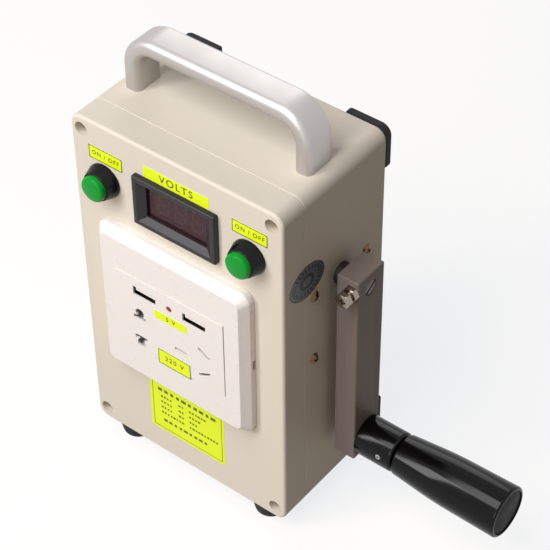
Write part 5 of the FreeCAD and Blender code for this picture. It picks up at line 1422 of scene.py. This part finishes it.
@dataclass
class Crank:
    """The shaft, the square arm with its clamp bolt, the collar and the turning grip."""

    screw_tree: GeometryTree
    wall_screw: CrossScrew = CrossScrew(head_radius=2.9, head_height=1.8, dome_radius=3.3,
                                        shank_radius=1.9, shank_length=6.0, recess_length=3.0,
                                        recess_width=0.7, recess_depth=1.1)
    edge: float = 0.3
    bush_bore: float = 4.05
    bush_bore_edge: float = 0.1
    bush_radius: float = 5.4
    bush_flange: float = 1.2
    bush_flange_edge: float = 0.2
    bush_round: float = 0.5
    clamp_radius: float = 2.0
    clamp_flats: float = 7.0
    clamp_head: float = 2.8
    clamp_crown: tuple[tuple[float, float], ...] = ((0.7, 4.1), (0.2, 3.65), (0.0, 3.2))
    clamp_cross: tuple[float, float, float] = (3.6, 0.8, 1.3)
    nut_face_radius: float = 3.35
    nut_chamfer: float = 0.4
    nut_chamfer_radius: float = 4.1
    past_corners: float = 9.0
    collar_radius: float = 10.05
    collar_round: float = 1.8
    collar_bore_edge: float = 0.2
    set_screw_radius: float = 1.5
    set_screw_end: float = 9.8
    set_screw_edge: float = 0.25
    set_screw_angle: float = math.radians(172)
    socket_depth: float = 0.7
    socket_radius: float = 0.6
    socket_sides: int = 6
    spindle_radius: float = 4.0
    spindle_head: float = 3.3
    spindle_gap: float = 0.3
    grip_start_radius: float = 10.2
    grip_knee: float = 24.0
    grip_knee_radius: float = 12.35
    grip_knee_bend: float = 207.0
    grip_end_radius: float = 12.9
    grip_round: float = 1.2
    grip_bore: float = 4.05
    grip_crease: float = 24.0
    cap_radius: float = 11.2
    cap_seat_edge: float = 0.25
    gap: float = 0.03
    segments: int = 128
    rod_segments: int = 32
    arc_steps: int = 8

    def build(self) -> None:
        """Build and dress every piece of the crank."""
        self.wall_screws()
        self.bushing()
        deliver(refined("crank_arm", "arm_bar", self.edge), [ARM_STEEL], Body.CRANK,
                ["crank_arm"])
        # The axle's dark steel is painted shade for its shaded end face.
        deliver(refined("crank_shaft", "crank_axle", 0.0), [AXLE_STEEL_PAINTED_SHADE], Body.CRANK,
                ["crank_shaft"])
        self.clamp()
        self.collar()
        self.grip()
        dress("grip_spindle", PLATED_STEEL)

    def wall_screws(self) -> None:
        """Build the four screws round the shaft on the right wall."""
        seat = high_corner("wall_screws").x - self.wall_screw.head_height
        seats = corners_of("wall_screws", self.wall_screw.head_radius, seat, Axis.X)
        mesh = self.wall_screw.meshes(self.screw_tree, "gearbox_wall_screws", seats, FACING_RIGHT)
        # The wall screws' finish is darkened as painted shade for the shaded right wall.
        deliver(link("gearbox_wall_screws", mesh), [BRONZED_STEEL_PAINTED_SHADE], Body.CASE, ["wall_screws"])

    def bushing(self) -> None:
        """Build the flanged bushing round the shaft."""
        low, high = low_corner("crank_bushing"), high_corner("crank_bushing")
        centre = (low + high) / 2
        flange = (high.z - low.z) / 2
        step = low.x + self.bush_flange
        outline = soften([(low.x, self.bush_bore, self.bush_bore_edge),
                          (low.x, flange, self.bush_flange_edge), (step, flange, self.bush_flange_edge),
                          (step, self.bush_radius, 0), (high.x, self.bush_radius, self.bush_round),
                          (high.x, self.bush_bore, self.edge)])
        bush = Solid().lathe(outline, Vector((0, centre.y, centre.z)), Axis.X)
        # The bushing's nearly black finish is painted shade for the shadow beside the arm.
        make("shaft_bushing", bush, [BUSH_BRONZE_PAINTED_SHADE], Body.CASE, ["crank_bushing"])

    def clamp(self) -> None:
        """Build the hexagonal clamp bolt with its cross recess, and its lock nut."""
        low, high = low_corner("clamp_bolt"), high_corner("clamp_bolt")
        centre = (low + high) / 2
        seat = low.y + self.clamp_head
        flat = self.clamp_flats / 2
        rings = [hexagon_ring(flat, self.past_corners, Vector((centre.x, seat, centre.z)))]
        rings += [hexagon_ring(flat, limit, Vector((centre.x, low.y + depth, centre.z)))
                  for depth, limit in self.clamp_crown]
        head = settle_mesh(Solid().loft(rings).mesh("bolt_head"))
        long, narrow, depth = self.clamp_cross
        carve(head, [recess_bar(Vector((centre.x, low.y, centre.z)), *size)
                     for size in ((long, narrow, depth), (narrow, long, depth))])
        length = high.y - seat
        outline = soften([(0, 0, 0), (0, self.clamp_radius, 0), (length, self.clamp_radius, self.edge),
                          (length, 0, 0)])
        shank = Solid().lathe(outline, Vector((centre.x, seat, centre.z)), Axis.Y, self.rod_segments)
        bolt = join("arm_clamp_bolt", [head, settle_mesh(shank.mesh("shank"))])
        deliver(bolt, [PLATED_STEEL], Body.CRANK, ["clamp_bolt"])
        low, high = low_corner("clamp_nut"), high_corner("clamp_nut")
        bore = self.clamp_radius + self.gap
        rings = [hexagon_ring(flat, limit, Vector((centre.x, y, centre.z)))
                 for y, limit in ((low.y, bore), (low.y, self.nut_face_radius),
                                  (low.y + self.nut_chamfer, self.nut_chamfer_radius),
                                  (high.y, self.past_corners), (high.y, bore))]
        make("arm_clamp_nut", Solid().loft(rings, closed=True), [PLATED_STEEL], Body.CRANK,
             ["clamp_nut"])

    def collar(self) -> None:
        """Build the fixed collar beside the arm, with the set screw that holds it."""
        low, high = low_corner("grip_collar"), high_corner("grip_collar")
        centre = (low + high) / 2
        bore = self.spindle_radius + self.gap
        outline = soften([(low.x, bore, 0), (low.x, self.collar_radius, self.edge),
                          (high.x, self.collar_radius, self.collar_round),
                          (high.x, bore, self.collar_bore_edge)], self.arc_steps)
        collar = Solid().lathe(outline, Vector((0, centre.y, centre.z)), Axis.X, self.segments)
        mesh = settle_mesh(collar.mesh("handle_collar"))
        reach = self.set_screw_end
        hole = self.cross_rod(bore - 1, reach + 2, self.set_screw_radius + self.gap, self.rod_segments)
        carve(mesh, [hole])
        deliver(link("handle_collar", mesh), [GRIP_PLASTIC], Body.CRANK, ["grip_collar"])
        pin = self.cross_rod(bore, reach, self.set_screw_radius, self.rod_segments, self.set_screw_edge)
        carve(pin, [self.cross_rod(reach - self.socket_depth, reach + 1, self.socket_radius,
                                   self.socket_sides)])
        deliver(link("collar_set_screw", pin), [SET_SCREW_STEEL], Body.CRANK, ["collar_screw"])

    def cross_rod(self, start: float, stop: float, radius: float, segments: int,
                  edge: float = 0.0) -> bpy.types.Mesh:
        """Return a rod along the set screw's axis.

        Args:
            start: The distance of its inner end from the grip's axis.
            stop: The distance of its outer end.
            radius: Its radius.
            segments: Faces round it.
            edge: The rounding of its outer end.

        Returns:
            The rod as a settled mesh.
        """
        centre = middle("grip_collar")
        outline = soften([(start, 0, 0), (start, radius, 0), (stop, radius, edge), (stop, 0, 0)])
        mesh = settle_mesh(Solid().lathe(outline, Vector((0, 0, 0)), Axis.Y, segments).mesh("rod"))
        place = Vector((middle("collar_screw").x, centre.y, centre.z)) * MM
        mesh.transform(Matrix.Translation(place) @ Matrix.Rotation(self.set_screw_angle, 4, "X"))
        return mesh

    def grip(self) -> None:
        """Build the flared grip and its end cap."""
        low, high = low_corner("crank_grip"), high_corner("crank_grip")
        centre = (low + high) / 2
        cap_low, cap_high = low_corner("grip_end_cap"), high_corner("grip_end_cap")
        head = high_corner("grip_spindle").x
        seat = head - self.spindle_head
        recess = (high_corner("grip_spindle").z - low_corner("grip_spindle").z) / 2 + self.spindle_gap
        cap_seat = self.cap_radius + self.gap
        outline = soften([(low.x, self.grip_bore, 0), (low.x, self.grip_start_radius, self.grip_round),
                          (low.x + self.grip_knee, self.grip_knee_radius, self.grip_knee_bend),
                          (high.x, self.grip_end_radius, self.grip_round),
                          (high.x, cap_seat, self.cap_seat_edge), (cap_low.x, cap_seat, 0),
                          (cap_low.x, recess, 0), (seat, recess, 0), (seat, self.grip_bore, 0)],
                         self.arc_steps)
        axis_point = Vector((0, centre.y, centre.z))
        grip = Solid().lathe(outline, axis_point, Axis.X, self.segments)
        make("turning_grip", grip, [GRIP_PLASTIC], Body.GRIP, ["crank_grip"],
             self.grip_crease)
        outline = soften([(cap_low.x, 0, 0), (cap_low.x, self.cap_radius, 0),
                          (cap_high.x, self.cap_radius, self.edge), (cap_high.x, 0, 0)])
        lid = Solid().lathe(outline, axis_point, Axis.X, self.segments)
        make("turning_grip_cap", lid, [GRIP_CAP_PLASTIC], Body.GRIP, ["grip_end_cap"])


class Lettering(Enum):
    """The generic words that the labels carry."""

    SWITCH = "ON / OFF"
    METER = "VOLTS"
    LOW = "5 V"
    HIGH = "220 V"
    NONE = ""


def dash_tree(finish: Finish) -> GeometryTree:
    """Print a flat dash on each point.

    Args:
        finish: The print's finish.

    Returns:
        The tree.
    """
    tree = GeometryTree("small_print")
    width = tree.size("Dash Width")
    height = tree.size("Dash Height")
    ink = tree.size("Ink")
    spread = tree.add("FunctionNodeRandomValue", {"data_type": "FLOAT"}, Min=0.55, Max=1.0, Seed=7)
    line = tree.add("GeometryNodeMeshCube", Size=tree.vector(width, height, ink))
    lines = tree.add("GeometryNodeInstanceOnPoints", Points=tree.base, Instance=line,
                     Scale=tree.vector(spread, 1.0, 1.0))
    tree.finish(lines, finish)
    return tree


@dataclass(frozen=True)
class PrintRow:
    """A row of plain dashes that stands for small print.

    Its level and its columns are shares of the label's height and width, its other sizes millimetres.
    """

    level: float
    columns: tuple[tuple[float, float], ...]
    height: float = 1.2
    dash: float = 1.5
    pitch: float = 1.8

    def places(self, width: float, top: float, left: float, height: float) -> list[Vector]:
        """Return the dashes' places on a label.

        Args:
            width: The label's width.
            top: Its upper edge.
            left: Its left edge.
            height: Its height.

        Returns:
            The places in the plane of the label.
        """
        places = []
        for start, stop in self.columns:
            count = max(1, round((stop - start) * width / self.pitch))
            for index in range(count):
                x = left + start * width + self.pitch * (index + 0.5)
                places.append(Vector((x, top - self.level * height, 0)))
        return places


@dataclass(frozen=True)
class Label:
    """A yellow film label on a face that looks to the front."""

    name: str
    left: float
    right: float
    bottom: float
    top: float
    words: Lettering = Lettering.NONE
    letter_height: float = 4.0
    border: float = 0.0
    border_inset: float = 0.0
    rows: tuple[PrintRow, ...] = ()
    corner: float = 0.4
    border_corner: float = 0.3
    thickness: float = 0.12
    ink: float = 0.03

    def build(self, face: float, dashes: GeometryTree) -> None:
        """Build the label with its border, rows and words.

        Args:
            face: The depth of the surface it is stuck to.
            dashes: The tree that prints the rows.
        """
        x, z = (self.left + self.right) / 2, (self.bottom + self.top) / 2
        width, height = self.right - self.left, self.top - self.bottom
        front = face - self.thickness
        film = Solid().loft([rounded_ring(width, height, self.corner, x, z, y, 3) for y in (face, front)])
        meshes = [self.painted(settle_mesh(film.mesh(self.name)), LABEL_FILM)]
        if self.border:
            meshes.append(self.painted(self.frame(width, height, x, z, front), INK))
        for row in self.rows:
            mesh = dashes.grow("row", row.places(width, self.top, self.left, height), False,
                               Dash_Width=row.dash, Dash_Height=row.height, Ink=self.ink)
            place = Matrix.Translation((0, front - self.ink / 2, 0)) @ FACING_FRONT
            meshes.append(settle_mesh(place_mesh(mesh, place)))
        if self.words.value:
            letters = words_mesh(self.words.value, self.letter_height, Vector((x, front, z)), self.ink)
            meshes.append(self.painted(letters, INK))
        deliver(join(self.name, meshes), [], Body.CASE)

    def frame(self, width: float, height: float, x: float, z: float, front: float) -> bpy.types.Mesh:
        """Make the printed border of a label.

        Args:
            width: The label's width.
            height: Its height.
            x: Its middle along X.
            z: Its middle along Z.
            front: The depth of its face.

        Returns:
            The border as a settled mesh.
        """
        marks = Solid()
        rings = []
        for inset, y in ((0, front), (0, front - self.ink), (self.border, front - self.ink),
                         (self.border, front)):
            cut = 2 * (self.border_inset + inset)
            rings.append(rounded_ring(width - cut, height - cut, self.border_corner, x, z, y, 3))
        return settle_mesh(marks.loft(rings, closed=True).mesh("border"))

    def painted(self, mesh: bpy.types.Mesh, finish: Finish) -> bpy.types.Mesh:
        """Give a mesh one finish."""
        mesh.materials.clear()
        mesh.materials.append(finish.material())
        return mesh


@dataclass
class Labels:
    """Every label on the lid and the socket plate, and the oval sticker on the side."""

    lid_labels: tuple[Label, ...] = (
        Label("label_left_button", left=-48.7, right=-29.6, bottom=178.6, top=185.7,
              words=Lettering.SWITCH, letter_height=2.3, border=0.38),
        Label("label_right_button", left=31.5, right=50.4, bottom=178.9, top=185.6,
              words=Lettering.SWITCH, letter_height=2.3, border=0.38),
        Label("label_voltmeter", left=-17.1, right=19.2, bottom=183.3, top=189.4,
              words=Lettering.METER, letter_height=4.0),
        Label("label_rating_table", left=-22.5, right=22.8, bottom=24.5, top=60.5, border=0.3,
              border_inset=1.5, rows=(
                  PrintRow(0.23, ((0.1, 0.88),), height=1.9, dash=3.0, pitch=3.6),
                  PrintRow(0.35, ((0.14, 0.28), (0.38, 0.46), (0.52, 0.74))),
                  PrintRow(0.45, ((0.14, 0.28), (0.38, 0.46), (0.52, 0.68))),
                  PrintRow(0.55, ((0.14, 0.28), (0.38, 0.46), (0.52, 0.64))),
                  PrintRow(0.65, ((0.14, 0.44), (0.52, 0.9))),
                  PrintRow(0.79, ((0.16, 0.78),), height=1.6, dash=2.6, pitch=3.1),
              )),
    )
    plate_labels: tuple[Label, ...] = (
        Label("label_ports", left=-9.0, right=9.8, bottom=110.2, top=115.0, words=Lettering.LOW,
              letter_height=2.5),
        Label("label_outlets", left=-8.2, right=10.8, bottom=82.0, top=91.0, words=Lettering.HIGH,
              letter_height=2.9, border=0.38),
    )
    sticker_y: float = -20.3
    sticker_z: float = 152.6
    sticker_radius: float = 9.1
    sticker_stretch: float = 1.34
    sticker_film: float = 0.1
    sticker_print: float = 0.03
    sticker_rings: tuple[tuple[float, float], ...] = ((8.9, 0.5), (5.0, 0.35), (3.9, 1.5))
    sticker_ticks: int = 24
    tick_start: float = 5.6
    tick_stop: float = 7.8
    tick_inner_turn: float = 0.15
    tick_outer_turn: float = 0.19

    def build(self) -> None:
        """Build every label."""
        dashes = dash_tree(FAINT_INK)
        for label in self.lid_labels:
            label.build(low_corner("front_lid").y, dashes)
        for label in self.plate_labels:
            label.build(low_corner("socket_insert").y, dashes)
        self.sticker()

    def sticker(self) -> None:
        """Build the oval sticker with its plain rings and ticks."""
        centre = Vector((high_corner("base_shell").x, self.sticker_y, self.sticker_z))
        film, top = self.sticker_film, self.sticker_film + self.sticker_print
        radius = self.sticker_radius
        disc = Solid().lathe([(0, 0), (0, radius), (film, radius), (film, 0)], centre, Axis.X)
        for outer, width in self.sticker_rings:
            disc.lathe([(film, outer - width), (film, outer), (top, outer), (top, outer - width)], centre,
                       Axis.X, finish=1)
        for tick in range(self.sticker_ticks):
            start = 2 * math.pi * tick / self.sticker_ticks
            corners = [(self.tick_start, start), (self.tick_stop, start),
                       (self.tick_stop, start + self.tick_outer_turn),
                       (self.tick_start, start + self.tick_inner_turn)]
            disc.loft([[centre + Vector((x, reach * math.cos(angle), reach * math.sin(angle)))
                        for reach, angle in corners] for x in (film, top)], finish=1)
        for point in disc.points:
            point.y = centre.y + (point.y - centre.y) * self.sticker_stretch
        make("side_sticker", disc, [STICKER_FILM, STICKER_RING], Body.CASE)


@dataclass
class InnerWorks:
    """The gearbox, the generator and the converter board inside the case."""

    finishes: tuple[tuple[Finish, tuple[str, ...]], ...] = (
        (GEARBOX_STEEL, ("gearbox_outer_plate", "gearbox_inner_plate")),
        (PLATED_STEEL, ("gearbox_pillars", "gearbox_screws", "idler_axle", "rotor_shaft")),
        (BRASS, ("gearbox_bushes", "button_terminals")),
        (GEAR_NYLON, ("crank_gear", "idler_gear")),
        (GEAR_STEEL, ("generator_pinion",)),
        (CAN_STEEL, ("generator_can",)),
        (BEZEL_PLASTIC, ("generator_end_cap", "button_nuts")),
        (FERRITE, ("generator_magnets",)),
        (CARBON, ("generator_brushes",)),
        (CORE_IRON, ("rotor_core",)),
        (LAMINATE, ("converter_board",)),
        (SLEEVE, ("board_capacitors",)),
        (COPPER, ("board_coil",)),
        (SINK_METAL, ("board_heat_sink",)),
    )

    def build(self) -> None:
        """Dress every inner piece."""
        for finish, nodes in self.finishes:
            for node in nodes:
                dress(node, finish)


@dataclass(frozen=True)
class SoftBox:
    """A soft rectangular lamp, with its place and its width and height in metres."""

    name: str
    place: tuple[float, float, float]
    size: tuple[float, float]
    power: float

    def hang(self, aim: Vector) -> None:
        """Hang the lamp.

        Args:
            aim: The point that it faces.
        """
        data = bpy.data.lights.new(self.name, "AREA")
        data.shape = "RECTANGLE"
        data.size, data.size_y = self.size
        data.energy = self.power
        lamp = bpy.data.objects.new(self.name, data)
        bpy.context.scene.collection.objects.link(lamp)
        lamp.location = self.place
        lamp.rotation_euler = (aim - lamp.location).to_track_quat("-Z", "Y").to_euler()


@dataclass
class Studio:
    """The floor, the light and the camera at the photograph's viewing angle."""

    target: Vector = field(default_factory=lambda: Vector((22.184, 3.5, 118.157)))
    distance: float = 893.049
    azimuth: float = math.radians(38.582)
    elevation: float = math.radians(43.0434)
    roll: float = math.radians(-0.68)
    lens: float = 129.007
    sensor: float = 36.0
    floor_size: float = 4.0
    floor_colour: Colour = paint(136, 125, 114)
    floor_glow: Colour = (0.97, 1.0, 1.03, 1.0)
    floor_lift: float = 0.8
    ambient: float = 0.1
    ambient_tint: Colour = (1.0, 0.87, 0.75, 1.0)
    clip_start: float = 0.05
    clip_end: float = 20.0
    lamps: tuple[SoftBox, ...] = (
        SoftBox("key_light", place=(-0.762, -1.258, 0.943), size=(0.36, 0.95), power=11.0),
        SoftBox("top_light", place=(-0.1, -0.95, 1.65), size=(1.0, 1.0), power=20.0),
        SoftBox("front_light", place=(0.1, -1.656, 0.74), size=(0.5, 0.8), power=8.0),
        SoftBox("back_light", place=(-0.9, 1.6, 1.3), size=(1.0, 1.0), power=7.0),
    )
    lamp_aim: tuple[float, float, float] = (0.02, 0.0, 0.11)

    def build(self) -> None:
        """Build the studio."""
        self.camera()
        self.floor()
        self.world()
        for lamp in self.lamps:
            lamp.hang(Vector(self.lamp_aim))
        view = bpy.context.scene.view_settings
        view.view_transform = "Standard"

    def camera(self) -> None:
        """Place the camera."""
        flat = Vector((math.sin(self.azimuth), -math.cos(self.azimuth), 0))
        back = flat * math.cos(self.elevation) + Vector((0, 0, math.sin(self.elevation)))
        right = Vector((math.cos(self.azimuth), math.sin(self.azimuth), 0))
        up = back.cross(right)
        turned_right = right * math.cos(self.roll) + up * math.sin(self.roll)
        turned_up = up * math.cos(self.roll) - right * math.sin(self.roll)
        data = bpy.data.cameras.new("photo_camera")
        data.lens = self.lens
        data.sensor_width = self.sensor
        data.clip_start = self.clip_start
        data.clip_end = self.clip_end
        camera = bpy.data.objects.new("photo_camera", data)
        bpy.context.scene.collection.objects.link(camera)
        place = (self.target + back * self.distance) * MM
        axes = Matrix((turned_right, turned_up, back)).transposed()
        camera.matrix_world = Matrix.Translation(place) @ axes.to_4x4()
        bpy.context.scene.camera = camera

    def floor(self) -> None:
        """Lay the pale floor."""
        half = self.floor_size / 2
        mesh = bpy.data.meshes.new("floor")
        mesh.from_pydata([(-half, -half, 0), (half, -half, 0), (half, half, 0), (-half, half, 0)], [],
                         [(0, 1, 2, 3)])
        tree = ShaderTree("floor_paper")
        tree.settle(Base_Color=self.floor_colour, Roughness=0.9, Specular_IOR_Level=0.1)
        tree.settle(Emission_Color=self.floor_glow)
        lift = tree.tree.nodes.new("ShaderNodeMath")
        lift.operation = "MULTIPLY"
        tree.tree.links.new(seen_rays(tree.tree), lift.inputs[0])
        lift.inputs[1].default_value = self.floor_lift
        tree.tree.links.new(lift.outputs[0], tree.shader.inputs["Emission Strength"])
        mesh.materials.append(tree.material)
        link("floor", mesh)

    def world(self) -> None:
        """Light the room softly and show it white."""
        world = bpy.data.worlds.new("studio_room")
        world.use_nodes = True
        tree = world.node_tree
        room = tree.nodes["Background"]
        seen = seen_rays(tree)
        tint = tree.nodes.new("ShaderNodeMix")
        tint.data_type = "RGBA"
        tint.inputs[6].default_value = self.ambient_tint
        tint.inputs[7].default_value = (1.0, 1.0, 1.0, 1.0)
        tree.links.new(seen, tint.inputs[0])
        tree.links.new(tint.outputs[2], room.inputs["Color"])
        strength = tree.nodes.new("ShaderNodeMapRange")
        strength.inputs["To Min"].default_value = self.ambient
        strength.inputs["To Max"].default_value = 1.0
        tree.links.new(seen, strength.inputs["Value"])
        tree.links.new(strength.outputs["Result"], room.inputs["Strength"])
        bpy.context.scene.world = world


def seen_rays(tree: bpy.types.NodeTree) -> bpy.types.NodeSocket:
    """Tell the rays that are seen from the rest.

    Args:
        tree: The node tree to add to.

    Returns:
        A socket that is 1 for rays from the camera, in a mirror or through glass, and 0 for the rest.
    """
    path = tree.nodes.new("ShaderNodeLightPath")
    value = path.outputs["Is Camera Ray"]
    for name in ("Is Glossy Ray", "Is Transmission Ray"):
        node = tree.nodes.new("ShaderNodeMath")
        node.operation = "MAXIMUM"
        tree.links.new(value, node.inputs[0])
        tree.links.new(path.outputs[name], node.inputs[1])
        value = node.outputs[0]
    return value


def dress(node: str, finish: Finish) -> None:
    """Give a CAD node that stays its material.

    Args:
        node: The CAD node.
        finish: Its finish.
    """
    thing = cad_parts[node]
    for slot in thing.material_slots:
        slot.material = finish.material()
    LOG.info("%s: dressed in %s", node, finish.name)


def join(name: str, meshes: Sequence[bpy.types.Mesh]) -> bpy.types.Object:
    """Join settled meshes into one object that keeps their materials.

    Args:
        name: The object's name.
        meshes: The meshes.

    Returns:
        The object.
    """
    things = [link(f"{name}_{number}", mesh) for number, mesh in enumerate(meshes)]
    with bpy.context.temp_override(active_object=things[0], selected_editable_objects=things):
        bpy.ops.object.join()
    things[0].name = name
    things[0].data.name = name
    return things[0]


def hexagon_ring(apothem: float, limit: float, centre: Vector, steps: int = 72) -> list[Vector]:
    """Return a hexagon that faces the front, cut back to a circle where it is smaller.

    Args:
        apothem: The distance from its middle to a flat.
        limit: The circle's radius.
        centre: Its middle.
        steps: Its points.

    Returns:
        The ring's points.
    """
    ring = []
    for step in range(steps):
        angle = 2 * math.pi * step / steps
        off_flat = (angle % (math.pi / 3)) - math.pi / 6
        radius = min(apothem / math.cos(off_flat), limit)
        ring.append(centre + Vector((radius * math.cos(angle), 0, radius * math.sin(angle))))
    return ring


def recess_bar(centre: Vector, width: float, height: float, depth: float) -> bpy.types.Mesh:
    """Return a cutter for one bar of a cross recess in a face that looks to the front."""
    reach = Vector((width / 2, depth, height / 2))
    return settle_mesh(Solid().block(centre - reach, centre + reach).mesh("recess"))


def carve(mesh: bpy.types.Mesh, cutters: Sequence[bpy.types.Mesh]) -> None:
    """Cut meshes out of a closed mesh.

    Args:
        mesh: The mesh, changed in place.
        cutters: What is cut out of it, one after the other.
    """
    thing = link("blank", mesh)
    for cutter in cutters:
        tool = link("cutter", cutter)
        cut = thing.modifiers.new("cut", "BOOLEAN")
        cut.operation = "DIFFERENCE"
        cut.solver = "EXACT"
        cut.object = tool
        freeze(thing)
        bpy.data.objects.remove(tool)
    work = bmesh.new()
    work.from_mesh(thing.data)
    work.to_mesh(mesh)
    work.free()
    bpy.data.objects.remove(thing)
    mesh.set_sharp_from_angle(angle=math.radians(SHARP_ANGLE))


LETTER_SCALE = 1.35
LETTER_WEIGHT = 0.02
LETTER_SPACING = 1.25


def words_mesh(words: str, height: float, centre: Vector, depth: float) -> bpy.types.Mesh:
    """Return words as raised letters on a face that looks to the front.

    Args:
        words: What they say.
        height: The letters' size.
        centre: The middle of the words on the face.
        depth: How far they stand proud.

    Returns:
        The letters as a mesh in metres.
    """
    curve = bpy.data.curves.new("words", "FONT")
    curve.body = words
    curve.size = height * LETTER_SCALE
    curve.align_x = "CENTER"
    curve.align_y = "CENTER"
    curve.extrude = depth / 2
    curve.offset = LETTER_WEIGHT
    curve.space_character = LETTER_SPACING
    thing = bpy.data.objects.new("words", curve)
    bpy.context.scene.collection.objects.link(thing)
    graph = bpy.context.evaluated_depsgraph_get()
    mesh = bpy.data.meshes.new_from_object(thing.evaluated_get(graph))
    bpy.data.objects.remove(thing)
    place_mesh(mesh, Matrix.Translation(centre - Vector((0, depth / 2, 0))) @ FACING_FRONT)
    return settle_mesh(mesh, turn_out=False)


def main() -> None:
    """Build the generator's pieces in order, then the studio round them."""
    logging.basicConfig(level=logging.INFO, format="%(message)s")
    screws = cross_screw_tree(PLATED_STEEL)
    Enclosure(screws).build()
    CarryHandle().build()
    Voltmeter().build()
    coils = coil_tree(SPRING_STEEL)
    PushButton("left", Body.BUTTON_LEFT).build(coils)
    PushButton("right", Body.BUTTON_RIGHT).build(coils)
    SocketPlate().build()
    Crank(screws).build()
    Labels().build()
    InnerWorks().build()
    Studio().build()


if __name__ == "__main__":
    main()
